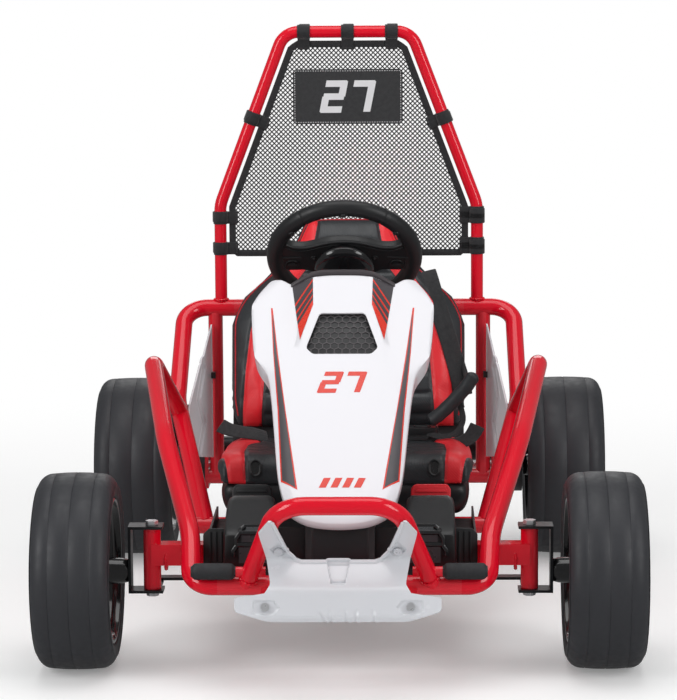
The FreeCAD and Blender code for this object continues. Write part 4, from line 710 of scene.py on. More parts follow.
def hood_decals(skin):
    """Side stripes, the scoop's dark cheeks with red bars, the number, and plain slanted bars."""
    for word, side in SIDES.items():
        form = Form()
        outer = [(106.5, 404), (101, 315), (92, 210), (84, 78)]
        inner = [(104, 404), (94, 315), (80, 205), (60, 60)]
        edge = 1.8
        decal(form, skin, to_side(inner, side), to_side(outer, side), 0, 0.25)
        core_outer = [(103.9, 390), (99.8, 315), (92 - edge, 212), (84 - edge, 80)]
        core_inner = [(103.3, 390), (94 + edge, 315), (80 + edge, 209), (60 + edge * 1.6, 64)]
        decal(form, skin, to_side(core_inner, side), to_side(core_outer, side), 1, 0.45)
        stripe = mesh_object(f"hood_stripe_{word}", form)
        dressed(stripe, ["decal_red", "decal_grey"], slot="trim_grey")

        cheek = Form()
        corners = to_side([(76, 450), (62, 337), (43.5, 402), (45, 457)], side)
        decal(cheek, skin, [corners[0], corners[1]], [corners[3], corners[2]], 0, 0.3)
        for low, high in (((0.34, 0.38), (0.06, 0.13)), ((0.47, 0.51), (0.385, 0.455)),
                          ((0.60, 0.64), (0.625, 0.69)), ((0.71, 1.0), (0.82, 1.0))):
            first, second = quad_on(corners, low, high)
            decal(cheek, skin, first, second, 1, 0.5)
        film = mesh_object(f"hood_cheek_{word}", cheek)
        dressed(film, ["decal_grey", "decal_red"], slot="trim_grey")

    number = Form()
    for corners in number_strokes("27", 26, 38, 0.28, 8):
        a, b, c, d = [(x + 1, s + 255) for x, s in corners]
        decal(number, skin, [a, b], [d, c], 0, 0.35, 3)
    for k in range(4):
        left = -30 + 16.5 * k
        decal(number, skin, [(left, 62), (left + 7, 79)], [(left + 10, 62), (left + 17, 79)], 0,
              0.35, 3)
    figures = mesh_object("hood_number", number)
    dressed(figures, "decal_red", slot="trim_grey")


def clipped(item, outline, at):
    """Cuts a flat mesh to a convex outline seen along its placement's Z."""
    work = bmesh.new()
    work.from_mesh(item.data)
    centre = sum((Vector((x, y, 0)) for x, y in outline), Vector()) / len(outline)
    for (x0, y0), (x1, y1) in zip(outline, outline[1:] + outline[:1]):
        start = Vector((x0, y0, 0))
        way = Vector((x1 - x0, y1 - y0, 0))
        out = Vector((way.y, -way.x, 0)).normalized()
        if out.dot(centre - start) > 0:
            out = -out
        bmesh.ops.bisect_plane(work, geom=work.verts[:] + work.edges[:] + work.faces[:],
                               plane_co=(at @ start) * MM, plane_no=at.to_3x3() @ out,
                               clear_outer=True)
    work.to_mesh(item.data)
    work.free()
    return item


def vent_panel():
    """Black plate behind the hood's opening, with a lattice of six-sided cells."""
    low_edge = 309.0
    tilt = frame_at(HOOD @ Vector((0, low_edge, 3.0)), (1, 0, 0),
                    HOOD.to_3x3() @ Vector((0, 77, 5.0)))
    outline = both([(x + 3, y - low_edge + (3 if y > 350 else -3)) for x, y in VENT])
    back = piece("vent_back", prism(outline, -3, -0.5), tilt)
    rounded(back, 0.6)
    dressed(back, "plastic_black")

    pitch = 11.4
    rib = 0.75
    row_step = pitch * math.sqrt(3) / 2
    form = Form()
    for row in range(-1, 10):
        for column in range(-6, 7):
            cx = column * pitch + (row % 2) * pitch / 2
            cy = row * row_step
            cell = [[(x, y, 0) for x, y in ring_points((cx, cy), size / math.sqrt(3), 30, 330, 5)]
                    for size in (pitch, pitch - rib * 2)]
            form.add(strip(cell, closed_columns=True), tilt)
    lattice = clipped(mesh_object("vent_lattice", form), outline, tilt)
    with_modifier(lattice, "WELD", merge_threshold=0.05 * MM)
    thickened(lattice, 0.8)
    dressed(lattice, "trim_grey")


# ---- roll hoop net
HOOP_TUBE = 10.0
HOOP_KNEE_HEIGHT = 592.0
HOOP_TOP_HALF = 104.0
NET_TO_TUBE = 17.0


def net_outline(inward):
    """Right half of a line inside the roll hoop, from the top's middle to the bottom's."""
    net_low = low_of("headrest_net").z
    foot_half = high_of("roll_hoop").x - HOOP_TUBE
    top = high_of("roll_hoop").z - HOOP_TUBE
    run = Vector((HOOP_TOP_HALF - foot_half, top - HOOP_KNEE_HEIGHT))
    reach = NET_TO_TUBE + inward
    across = reach * run.y / run.length
    slope = run.x / run.y
    side = Vector((foot_half - across, HOOP_KNEE_HEIGHT + reach * run.x / run.length))
    knee = Vector((foot_half - reach, side.y + (foot_half - reach - side.x) / slope))
    corner = Vector((side.x + (top - reach - side.y) * slope, top - reach))
    nip = 8.0
    return [(0, top - reach), (corner.x - nip, top - reach), (corner.x + nip * 0.4, corner.y - nip),
            (knee.x, knee.y), (knee.x, net_low + inward + 8), (knee.x - nip, net_low + inward),
            (0, net_low + inward)]


def inside(outline, x, z):
    """Whether (|x|, z) lies within a right half outline."""
    x = abs(x)
    points = [(0, outline[-1][1])] + list(outline)
    hit = False
    for (x0, z0), (x1, z1) in zip(points, points[1:]):
        if (z0 > z) != (z1 > z) and x < x0 + (z - z0) / (z1 - z0) * (x1 - x0):
            hit = not hit
    return hit


def hoop_net():
    """Diamond net with real openings, and the hem that binds its edge."""
    pitch = 7.6
    cord = 1.9
    outline = net_outline(2.0)
    plane = middle_of("headrest_net").y
    reach = cord / math.sqrt(2)
    half = pitch / 2
    top = outline[0][1]
    low = outline[-1][1]
    form = Form()
    index = {}
    columns = int(outline[3][0] / half) + 1
    rows = int((top - low) / half) + 1
    for j in range(rows):
        for i in range(-columns, columns + 1):
            x, z = i * half, low + j * half
            if (i + j) % 2 == 0 and inside(outline, x, z):
                bow = 2.2 * math.sin(math.pi * j / rows) * math.cos(x / outline[3][0] * 1.4)
                index[i, j] = len(form.points)
                form.points += [Vector((x + dx, plane - bow, z + dz)) for dx, dz in (
                    (0, reach), (reach, 0), (0, -reach), (-reach, 0))]
    for (i, j), n in index.items():
        form.faces.append((n, n + 1, n + 2, n + 3))
        right, left = index.get((i + 1, j + 1)), index.get((i - 1, j + 1))
        if right is not None:
            form.faces.append((n, right + 3, right + 2, n + 1))
        if left is not None:
            form.faces.append((n + 3, left + 2, left + 1, n))
    form.paints = [0] * len(form.faces)
    net = mesh_object("net_mesh", form)
    thickened(net, 0.8)
    dressed(net, "mesh_fabric", ["headrest_net"], 60)

    hem_line = net_outline(3.0)
    loop = [Vector((x, plane, z)) for x, z in hem_line]
    loop += [Vector((-x, plane, z)) for x, z in reversed(hem_line[1:-1])]
    fine = []
    for k, at in enumerate(loop):
        after = loop[(k + 1) % len(loop)]
        pieces = max(2, int((after - at).length / 14))
        fine += [at.lerp(after, step / pieces) for step in range(pieces)]
    hem = piece("net_hem", swept(fine, flat_section(11, 2.4), (0, -1, 0), True))
    dressed(hem, "webbing")


def net_patch():
    """Black patch sewn on the net, with a plain number."""
    patch_half, patch_middle, stitch = 90.0, 770.0, 4.0
    front = middle_of("headrest_net").y - 3.6
    card = Form()
    flat = frame_at((0, front, patch_middle), (1, 0, 0), (0, 0, 1))
    corner = [(patch_half - 4, -45), (patch_half, -41), (patch_half, 41), (patch_half - 4, 45)]
    card.add(prism(both(corner), -0.6, 0.6), flat)
    seam = patch_half - 3.0
    edge = [Vector((x * seam, front - 0.9, patch_middle + z * 42))
            for x, z in ((-1, -1), (1, -1), (1, 1), (-1, 1))]
    for a, b in zip(edge, edge[1:] + edge[:1]):
        count = int((b - a).length / stitch)
        for k in range(count):
            thread = [a.lerp(b, (k + 0.2) / count), a.lerp(b, (k + 0.75) / count)]
            card.add(swept(thread, circle(0.45, 6), (0, -1, 0)), tint=1)
    for k, corners in enumerate(number_strokes("27", 34, 50, 0.2, 12)):
        card.add(prism(corners, 0.4 - 0.02 * k, 1.2 + 0.05 * k), flat, 1)
    patch = mesh_object("net_patch", card)
    dressed(patch, ["webbing", "patch_white"])


# ---- cushions
BAND_REACH = (400, 250)
BAND_EDGE = 2500.0      # how sharply a band's colour ends, per metre
PUFF_FRAMES = 20


def curve_of(tree, value, points, reach_in, reach_out):
    """A smooth line through given (input, output) points, both in millimetres."""
    share = math_node(tree, "DIVIDE", value, reach_in * MM)
    item = add_node(tree, "FloatCurve", {"Value": share})
    line = item.mapping.curves[0]
    line.points[0].location = (points[0][0] / reach_in, points[0][1] / reach_out)
    line.points[1].location = (points[-1][0] / reach_in, points[-1][1] / reach_out)
    for x, y in points[1:-1]:
        line.points.new(x / reach_in, y / reach_out)
    for point in line.points:
        point.handle_type = "VECTOR"
    item.mapping.update()
    return math_node(tree, "MULTIPLY", item.outputs[0], reach_out * MM)


def line_at(points, value):
    """Height of a line of (input, output) points."""
    if value <= points[0][0]:
        return points[0][1]
    for (x0, y0), (x1, y1) in zip(points, points[1:]):
        if value <= x1:
            return y0 + (y1 - y0) * (value - x0) / (x1 - x0)
    return points[-1][1]


def banded(name, origin, up, inner, outer):
    """Black vinyl with a red band on each side between two lines, and a carbon-look middle."""
    item = paint(name, CUSHION_BLACK, 0.44, twill(0.0042), 0.25, 0.1, Coat_Weight=0.1,
                 Coat_Roughness=0.3)
    tree = item.node_tree
    shader = tree.nodes["Principled BSDF"]
    moved = add_node(tree, "VectorMath", {0: place_of(tree), 1: Vector(origin) * MM},
                     operation="SUBTRACT")
    rise = add_node(tree, "VectorMath", {0: moved.outputs[0], 1: up},
                    operation="DOT_PRODUCT").outputs["Value"]
    axes = add_node(tree, "SeparateXYZ", {0: place_of(tree)}).outputs
    across = math_node(tree, "ABSOLUTE", axes[0])
    sides = []
    for line, sign in ((inner, 1), (outer, -1)):
        step = math_node(tree, "SUBTRACT", across, curve_of(tree, rise, line, *BAND_REACH))
        sides.append(math_node(tree, "MULTIPLY", step, sign * BAND_EDGE, clamp=True))
    mask = math_node(tree, "MULTIPLY", sides[0], sides[1])
    under = shader.inputs["Base Color"].links[0].from_socket
    tree.links.new(mixed(tree, mask, under, linear(*CUSHION_RED)), shader.inputs["Base Color"])
    return item


def puffed(item, at, cap, floor, pressure=4.0, voxel=5.0):
    """Even skin blown up as cloth: only its rise is kept, within `cap` and above `floor`."""
    with_modifier(item, "REMESH", mode="VOXEL", voxel_size=voxel * MM)
    applied(item)
    start = [v.co.copy() for v in item.data.vertices]
    cloth = with_modifier(item, "CLOTH").settings
    cloth.use_pressure = True
    cloth.uniform_pressure_force = pressure
    cloth.effector_weights.gravity = 0
    cloth.quality = 4
    for number in range(1, PUFF_FRAMES + 1):
        bpy.context.scene.frame_set(number)
    applied(item)
    bpy.context.scene.frame_set(1)
    local = at.inverted()
    for vertex, first in zip(item.data.vertices, start):
        point = local @ (first / MM)
        rise = (local @ (vertex.co / MM) - point).z
        if math.isfinite(rise):
            point.z += max(-cap, min(cap, rise))
        point.z = max(point.z, floor)
        vertex.co = (at @ point) * MM
    with_modifier(item, "SMOOTH", iterations=4, factor=0.5)
    softened(item)
    return applied(item)


def grooved(item, at, depth_at):
    """Presses sewn seams into a cushion: depth_at(point) gives the depth at a local point."""
    local = at.inverted()
    turn = local.to_3x3()
    normals = [v.normal.copy() for v in item.data.vertices]
    for vertex, normal in zip(item.data.vertices, normals):
        if (turn @ normal).z > -0.2:
            vertex.co -= normal * depth_at(local @ (vertex.co / MM)) * MM


BACK_INNER = [(0, 142), (60, 140), (100, 137), (160, 132), (225, 124), (262, 96), (300, 67),
              (345, 55), (376, 50), (400, 50)]
BACK_OUTER = [(0, 173), (68, 171), (138, 166), (194, 159), (238, 148), (270, 118), (305, 94),
              (345, 80), (376, 66), (400, 56)]
BACK_FOOT, BACK_HEAD = 44, 386
BACK_WIDTH = [(40, 178), (70, 190), (215, 191), (257, 172), (310, 112), (356, 84), (392, 68)]


def body_of_cushion(width_line, low, high, height_at, lip=0.0, rows=48, columns=24):
    """A closed block over an outline, with a shaped face; local Y runs from low to high."""
    top, under = [], []
    for r in range(rows + 1):
        y = low + (high - low) * r / rows
        half = line_at(width_line, y)
        xs = [half * math.sin(math.pi * (c / columns - 0.5)) for c in range(columns + 1)]
        top.append([(x, y, height_at(x, y, half)) for x in xs])
        under.append([(x, y, 1.0 - lip * (1 - ramp(y, 5.0, 9.0))) for x in xs])
    rings = [list(row) + list(reversed(back)) for row, back in zip(top, under)]
    return loft(rings)


def backrest():
    """Racing seat back: bolsters, red bands, sewn channels and red piping."""
    node = "backrest_cushion"
    lean_rise = 388.0
    thick = 45.0
    pitch = 34.0
    top = high_of(node)
    origin = Vector((0, top.y - lean_rise * BACK_UP.y, top.z - lean_rise * BACK_UP.z
                     - thick * math.sin(BACK_LEAN)))
    at = frame_at(origin, (1, 0, 0), BACK_UP)

    def height(x, y, half):
        bolster = 9.0 * ramp(abs(x) / half, 0.55, 0.85) * share_of(300 - y, 0, 80)
        edge = math.sqrt(max(1 - (abs(x) / half) ** 6, 0.0))
        end = min((y - 40) / 22, (392 - y) / 18, 1)
        return 4 + (26 + bolster) * edge * math.sqrt(max(end, 0.0))

    cushion = piece("backrest_pad", body_of_cushion(BACK_WIDTH, BACK_FOOT, BACK_HEAD, height), at)
    puffed(cushion, at, 13, 0.8)

    def seams(point):
        x, y = abs(point.x), point.y
        inner, outer = line_at(BACK_INNER, y), line_at(BACK_OUTER, y)
        depth = max(notch(x - inner, 2.6, 3.2), notch(x - outer, 2.6, 2.6))
        channel = notch((y - 76) % pitch - pitch / 2, 4.2, 3.6) * min((inner - x) / 8, 1)
        across = channel if y < 250 else notch(y - 292, 3.0, 3.0)
        return max(depth, across) if x < inner else depth

    grooved(cushion, at, seams)
    skin = banded("backrest_vinyl", origin, BACK_UP, BACK_INNER, BACK_OUTER)
    dressed(cushion, [skin], [node], 60, slot="seat_leather")
    sewn = edge_line(BACK_WIDTH, BACK_FOOT + 16, BACK_HEAD - 8, 12, 7.0)
    piping("backrest_piping", cushion, at, sewn, 1.3)
    return surface_of(cushion)


def edge_line(width_line, low, high, steps, inward):
    """Right half of a line inside an outline, from its foot over the top to the middle."""
    heights = [low + (high - low) * k / steps for k in range(steps + 1)]
    points = [(line_at(width_line, y) - inward, y) for y in heights]
    return points + [(points[-1][0] - 14, high + 5), (0, high + 6)]


def piping(name, cushion, at, half, radius):
    """A cord sewn on a cushion's face along a line mirrored about its middle."""
    path = smooth_path([(x, y, 0) for x, y in both(half)], 4)
    tree = surface_of(cushion, at)
    placed = []
    for point in path:
        hit = tree.ray_cast(Vector((point.x, point.y, 120)), Vector((0, 0, -1)))
        spot = hit[0] or tree.find_nearest(Vector((point.x, point.y, 16)))[0]
        placed.append(at @ (spot + Vector((0, 0, radius * 0.35))))
    out = at.to_3x3() @ Vector((0, 0, 1))
    cord = piece(name, swept(placed, circle(radius, 10), out))
    return dressed(cord, "stitch", sharp=60, slot="seat_leather")


SEAT_UP = Vector((0, 0.8, 0.6))     # the seat's bands are measured this way, over its front
SEAT_INNER = [(-20, 151), (60, 156), (120, 154), (150, 138), (400, 130)]
SEAT_OUTER = [(-20, 176), (30, 186), (60, 194), (120, 202), (400, 204)]
SEAT_WIDTH = [(-5, 186), (10, 196), (60, 200), (250, 199)]


def seat_base():
    """Seat cushion with a waterfall front, red bands and sewn channels."""
    node = "seat_cushion"
    low, high = low_of(node), high_of(node)
    rise = math.atan2(15, 257)
    origin = Vector((0, low.y, low.z + 15))
    at = frame_at(origin, (1, 0, 0), (0, math.cos(rise), -math.sin(rise)))
    length = high.y - low.y

    def height(x, y, half):
        nose = math.sqrt(1 - (1 - share_of(y, -5, 31)) ** 2)
        edge = math.sqrt(max(1 - (abs(x) / half) ** 8, 0.0))
        return 5 + (24 + 7 * ramp(abs(x) / half, 0.6, 0.9)) * edge * (0.25 + 0.75 * nose)

    cushion = piece("seat_pad", body_of_cushion(SEAT_WIDTH, -5, length - 8, height, 19.0), at)
    puffed(cushion, at, 5, -19.0, 2.5)

    def seams(point):
        along = (at @ point - origin).dot(SEAT_UP)
        x, inner = abs(point.x), line_at(SEAT_INNER, along)
        depth = max(notch(x - inner, 2.6, 3.0), notch(x - line_at(SEAT_OUTER, along), 2.6, 2.4))
        if x < inner and point.y > 40:
            depth = max(depth, notch((point.y - 66) % 38 - 19, 4.2, 3.0))
        return depth

    grooved(cushion, at, seams)
    skin = banded("seat_vinyl", origin, SEAT_UP, SEAT_INNER, SEAT_OUTER)
    dressed(cushion, [skin], [node], 60, slot="seat_leather")
    seat_slots(surface_of(cushion))


def seat_slots(skin):
    """Rimmed slots in the seat's front for a lap strap; a darker plate in each is painted shade."""
    def slot_line(width):
        return ring_points((0, 4), width, 0, 180, 8) + ring_points((0, -4), width, 180, 360, 8)

    form = Form()
    for side in SIDES.values():
        hit = skin.ray_cast(Vector((side * 137, -140, 255)), Vector((0, 1, -0.28)).normalized())
        spot = frame_at(hit[0], (1, 0, 0), hit[1].cross(Vector((1, 0, 0))))
        rim = [[(x, y, z) for x, y in slot_line(width)] for width, z in (
            (7.0, 0.2), (9.5, 1.8), (7.8, 2.4), (5.6, 1.2), (5.2, -3.0))]
        form.add(strip(rim, closed_columns=True), spot)
        # a darker gloss-black plate closing the slot is painted shade of the hole
        form.add(prism(slot_line(5.6), 0.0, 0.5), spot, 1)
    slots = mesh_object("seat_slots", form)
    dressed(slots, ["plastic_black", "rim_black"])


# ---- steering wheel
WHEEL_CENTRE = Vector((0, 26, 546))
WHEEL_AT = frame_at(WHEEL_CENTRE, (1, 0, 0), (0, -math.sin(SLOPE), math.cos(SLOPE)))
RING_RADIUS = 106.0
RING_TUBE = 13.6
SEAMS = (35.0, -35.0)


def screw_hole(form, at, radius, dark=1):
    """A moulded collar with a dark sunk screw head in it."""
    form.add(spun([(0, 0.4), (radius * 0.55, 0.4), (radius * 0.6, 1.3), (radius, 1.1),
                   (radius * 1.12, 0.2), (radius * 1.12, -1.5), (0, -1.5)], 20), at)
    form.add(spun([(0, 0.5), (radius * 0.52, 0.5), (radius * 0.52, 0.9), (0, 0.9)], 6), at, dark)


def grip_ring():
    """Thick ring, fatter at the hands, with a parting line on each shoulder and screw holes."""
    rings = []
    steps = 288
    for k in range(steps):
        turn = 360 * k / steps
        angle = math.radians(turn)
        swell = 0.55 * math.cos(2 * angle)
        pinch = sum(1.3 * math.exp(-(((turn + 180) % 360 - 180 - seam) / 0.8) ** 2)
                    for seam in SEAMS)
        tube = RING_TUBE - 0.5 - swell * 0.6 - pinch
        across = Vector((math.sin(angle), math.cos(angle), 0))
        rings.append([across * (RING_RADIUS + tube * c)
                      + Vector((0, 0, tube * s * (0.9 if s < 0 else 1.0)))
                      for c, s in round_of(28)])
    form = Form().add(strip(rings, closed_rows=True, closed_columns=True), WHEEL_AT)
    for turn in (0, 52, -52):
        angle = math.radians(turn)
        way = Vector((math.sin(angle), math.cos(angle), 0))
        out = (Vector((0, 0, 0.9)) - way * 0.42).normalized()
        spot = way * RING_RADIUS + out * (RING_TUBE - 0.4)
        side = Vector((way.y, -way.x, 0))
        screw_hole(form, WHEEL_AT @ frame_at(spot, side, out.cross(side)), 4.2)
    grip = mesh_object("wheel_grip", form)
    dressed(grip, ["plastic_black", "rim_black"], ["steering_grip"], 60, body="steering")


def wheel_centre():
    """Spoke plate with a waved, lipped upper edge, switch marks, collar screws and domed boss."""
    upper = [(0, 41), (18, 40), (34, 36), (50, 30.5), (64, 27.5), (78, 29), (89, 35)]
    lower = [(95, 28), (98, -14), (93, -22), (84, -25), (66, -24), (56, -25), (46, -31), (24, -42),
             (0, -46)]
    fine = [(p.x, p.y) for p in smooth_path([(x, y, 0) for x, y in upper], 4)]
    outline = to_side(reversed(fine[1:]), -1) + fine + lower + to_side(reversed(lower[:-1]), -1)
    plate = piece("wheel_plate", prism(outline, -6, 8), WHEEL_AT)
    rounded(plate, 2.2, 3, 50)
    details = Form()
    for drop, radius, rise in ((2.2, 1.9, 8.2), (8.2, 1.3, 8.0)):
        line = [Vector((x, y - drop, rise)) for x, y in fine]
        line = [Vector((-p.x, p.y, p.z)) for p in reversed(line[1:])] + line
        details.add(swept(line, circle(radius, 10)), WHEEL_AT)
    for side in SIDES.values():
        screw_hole(details, WHEEL_AT @ Matrix.Translation((side * 47, 3, 8)), 4.4)
        mark = [(side * 66, 5), (side * 97, 4), (side * 92, -20)]
        for a, b in zip(mark, mark[1:]):
            details.add(swept([Vector((*a, 8.4)), Vector((*b, 8.4))], flat_section(3.4, 2.2)),
                        WHEEL_AT)
        dome = ring_points((side * 80, -12), 10.0, 0, 180, 10)
        details.add(swept([Vector((x, y, 8.2)) for x, y in dome], circle(1.7, 8)), WHEEL_AT)
        details.add(prism(ring_points((side * 80, -12), 7, 0, 180, 10), 7.5, 9.6), WHEEL_AT)
    parts = mesh_object("wheel_marks", details)
    dome = spun([
        (0, -12), (30, -12), (33, -6), (34, 8), (38, 15), (43.5, 22), (45.6, 26), (45.6, 28.5),
        (44.6, 29.4), (44.2, 30.4), (41, 33.4), (35, 36), (26, 38), (14, 39.3), (0, 39.8)], 72)
    boss = piece("wheel_boss", dome, WHEEL_AT)
    rounded(boss, 0.6)
    dressed(plate, "plastic_black", ["steering_wheel"], body="steering")
    dressed(parts, ["plastic_black", "rim_black"], sharp=50, body="steering")
    dressed(boss, "rim_black", sharp=30, slot="plastic_black", body="steering")


# ---- bumper shield
SHIELD_LINE = [(251, -563.6), (186, -515.5), (151, -560.0), (116, -573.6), (108, -569.5)]
SHIELD_NOTCH = [(0, 186), (50, 186), (58, 189), (68, 200), (86, 245)]
SHIELD_SHEET = 3.4


def shield_depth(z):
    """Where the shield's front face lies at a height, its bends rounded."""
    heights = list(reversed(SHIELD_LINE))
    return sum(line_at(heights, z + step) for step in (-5, -2.5, 0, 2.5, 5)) / 5


def along_edge(point, line):
    """Distance from a point to an open line."""
    reaches = []
    for a, b in zip(map(Vector, line), map(Vector, line[1:])):
        share = share_of((point - a).dot(b - a), 0, (b - a).length_squared)
        reaches.append((point - a.lerp(b, share)).length)
    return min(reaches)


def shield_relief(x, z):
    """Height of the shield's moulded details above its plain face."""
    x_abs = abs(x)
    spot = Vector((x_abs, z))
    rise = 2.0 * (1 - ramp(along_edge(spot, SHIELD_NOTCH), 4.0, 5.6))
    top, foot = 180.5, 159.0
    half = 10 + 5.5 * (z - foot) / (top - foot)
    sunk = ramp(half - x_abs, 0, 1.6) * ramp(z - foot, 0, 1.6)
    rise -= 3.4 * sunk * (z < top + 4) + 1.8 * sunk * ramp(foot + 5 - z, 0, 1.5)
    for high_x, low_x in ((29, 18), (13, 9.5), (-10, -11.5), (-26, -24), (-48, -49)):
        line = low_x + (high_x - low_x) * (z - 111) / 17
        if z < 130:
            rise -= 1.5 * math.exp(-((x + line) / 1.9) ** 2) * ramp(130 - z, 0, 9)
            rise += 0.7 * math.exp(-((x + line - 4) / 2.6) ** 2) * ramp(130 - z, 0, 9)
    diamond = abs(x_abs - 81) / 13 + abs(z - 201) / 13
    rise -= 2.2 * (1 - ramp(diamond, 0.86, 1.0)) * (1 - 0.5 * ramp(z - 201, -8, 8))
    pocket = max(abs(z - 130) / 9.5, (x_abs - 112) / 4.0, (86 - x_abs + abs(z - 130) * 0.9) / 6.0)
    rise -= 1.8 * (1 - ramp(pocket, 0.8, 1.0))
    return rise


def bumper_shield():
    """Pressed pale shield: horns, rimmed notch, centre recess, creased foot, bolt pockets."""
    outer = [(110.5, 90), (111, 96), (124, 138), (128, 141), (140, 141), (143, 139), (148, 100),
             (158, 93), (162, 93), (222, 107), (228, 108), (246, 94), (247, 92)]
    notch_edge = [(186, 50), (189, 58), (200, 68), (245, 86), (247, 91)]
    horn_columns, middle_columns = 44, 64
    step = 1.4

    def spot(x, z):
        slope = (shield_depth(z + 1) - shield_depth(z - 1)) / 2
        normal = Vector((0, -1, slope)).normalized()
        return Vector((x, shield_depth(z), z)) + normal * shield_relief(x, z)

    body_heights = [110.5 + step * k for k in range(int(75.5 / step))] + [notch_edge[0][0]]
    horn_heights = [notch_edge[0][0] + step * k for k in range(int(61 / step) + 1)]
    root = notch_edge[0][1]
    rows = []
    for z in body_heights:
        reach = line_at(outer, z)
        right = [root + (reach - root) * k / horn_columns for k in range(horn_columns + 1)]
        middle = [root * (2 * k / middle_columns - 1) for k in range(1, middle_columns)]
        xs = [-x for x in reversed(right)] + middle + right
        rows.append([spot(x, z) for x in xs])
    form = Form().add(strip(rows))
    for side in SIDES.values():
        rows = []
        for z in horn_heights:
            start, reach = line_at(notch_edge, z), line_at(outer, z)
            rows.append([spot(side * (start + (reach - start) * k / horn_columns), z)
                         for k in range(horn_columns + 1)])
        form.add(strip(rows))
    face = mesh_object("shield_face", form)
    with_modifier(face, "WELD", merge_threshold=0.02 * MM)
    thickened(face, SHIELD_SHEET, -1)
    # the shield's paint is the white shell plastic darkened as painted shade
    dressed(face, "shield_silver", ["bumper_shield"], 30, slot="shell_white")
    skin_normal = sum(p.normal.y * p.area for p in face.data.polygons[:2000])
    if skin_normal > 0:
        face.data.flip_normals()


# ---- foot guards and pedals
GUARD_SHELF = 205.0


def foot_guards():
    """Tall black footrests with a rounded top and three framed carbon-look steps."""
    for word, side in SIDES.items():
        node = f"foot_guard_{word}"
        low, high = low_of(node), high_of(node)
        near, far = sorted((abs(low.x), abs(high.x)))
        near, far = near + 0.4, far - 0.4
        front, back = low.y + 0.4, high.y - 0.4
        base, shelf = low.z, GUARD_SHELF
        slope = (high.z - shelf) / (back - 8 - front)

        def spot(x, t):
            """A place on the face: t runs from the foot of the front up to the top."""
            rise = shelf - base
            if t <= rise:
                return Vector((side * x, front, base + t))
            run = t - rise
            length = math.hypot(1, slope)
            return Vector((side * x, front + run / length, shelf + run / length * slope))

        rings = []
        corner = 12.0
        sections = [base, shelf - 3, shelf + 2] + [shelf + (high.z - shelf) * k / 8
                                                    for k in range(2, 9)]
        for z in sections:
            ahead = front if z <= shelf - 3 else front + 1.5 + max(z - shelf, 0) / slope
            ahead = min(ahead, back - 8)
            inset = 0.0
            if z > high.z - corner:
                inset = corner - math.sqrt(max(corner ** 2 - (z - high.z + corner) ** 2, 0))
            taper = 3.0 * (z - base) / (high.z - base)
            x0, x1 = near + inset * 0.7, far - inset * 0.7 - taper
            rings.append([(side * x, y, z) for x, y in (
                (x0, ahead + 5), (x0 + 2.5, ahead + 1), (x0 + 8, ahead), (x1 - 8, ahead),
                (x1 - 2.5, ahead + 1), (x1, ahead + 5), (x1, back), (x0, back))])
        guard = piece(f"{node}_body", loft(rings))
        rounded(guard, 1.2, 2, 30)
        dressed(guard, "guard_black", [node], 40, slot="plastic_black")

        guard_steps(node, near, spot)


def guard_steps(node, near, spot):
    """Three bent frames up a footrest's face, each over a carbon-look panel."""
    frames, panels = Form(), Form()
    for level, reach, foot in ((70.0, 40.0, 56.0), (52.0, 46.0, 39.0), (35.0, 50.0, 9.0)):
        outer = near + reach
        line = [(near + 3, level), (outer, level), (outer + 6, level - 9),
                (outer + 6, level - 17)]
        path = []
        for (x0, t0), (x1, t1) in zip(line, line[1:]):
            path += [spot(x0 + (x1 - x0) * j / 5, t0 + (t1 - t0) * j / 5) for j in range(5)]
        path = [p + Vector((0, -1.6, 0.8)) for p in path + [spot(*line[-1])]]
        frames.add(swept(path, [(-3.6, -2.5), (3.6, -2.5), (2.4, 2.4), (-2.4, 2.4)],
                         (0, -1, 0.5)))
        rows = []
        for j in range(7):
            t = level - 3.5 + (foot - level + 3.5) * j / 6
            rows.append([spot(x, t) + Vector((0, -1.5, 0.8))
                         for x in (near + 4, near + 4 + (outer - near - 6) / 2, outer - 2)])
        panels.add(strip(rows))
    frame_item = mesh_object(f"{node}_frames", frames)
    rounded(frame_item, 0.6)
    dressed(frame_item, "rim_black", slot="plastic_black")
    panel = mesh_object(f"{node}_panels", panels)
    thickened(panel, 1.6)
    dressed(panel, "carbon", slot="plastic_black")


def pedals():
    """Two hinged pedals with chamfered heads, ribbed faces and a hub round each pin."""
    lean = math.radians(12)
    up = Vector((0, math.sin(lean), math.cos(lean)))
    for node, body, colour in (("accelerator_pedal", "accelerator", "plastic_black"),
                               ("brake_pedal", "brake", "brake_red")):
        middle = middle_of(node).x
        pin = Vector((middle, low_of(node).y + 8.0, low_of(node).z + 8.0))
        at = frame_at(pin, (1, 0, 0), up)
        head = 85.0
        outline = [(28.6, 6), (28.6, head - 7), (25, head - 1.5), (21, head)]
        plate = piece(f"{node}_plate", prism(both(outline), -3.6, 3.6), at)
        rounded(plate, 1.6, 3)
        dressed(plate, colour, [node], body=body)
        ribs = Form()
        for k in range(7):
            y = 16 + 9.5 * k
            ribs.add(prism([(-22, y), (22, y), (20, y + 4), (-20, y + 4)], 3.2, 5.0), at)
        ribs.add(prism([(-24, head - 12), (24, head - 12), (21, head - 3), (-21, head - 3)], 3.0,
                       4.4), at)
        face = rounded(mesh_object(f"{node}_ribs", ribs), 0.5)
        dressed(face, colour, slot="plastic_black", body=body)
        sleeve = [(-28.6, 4.5), (-28.6, 7.4), (-27.8, 8), (27.8, 8), (28.6, 7.4), (28.6, 4.5)]
        hub = piece(f"{node}_hub", lathe(sleeve, 32), Matrix.Translation(pin))
        dressed(hub, "plastic_black", body=body)


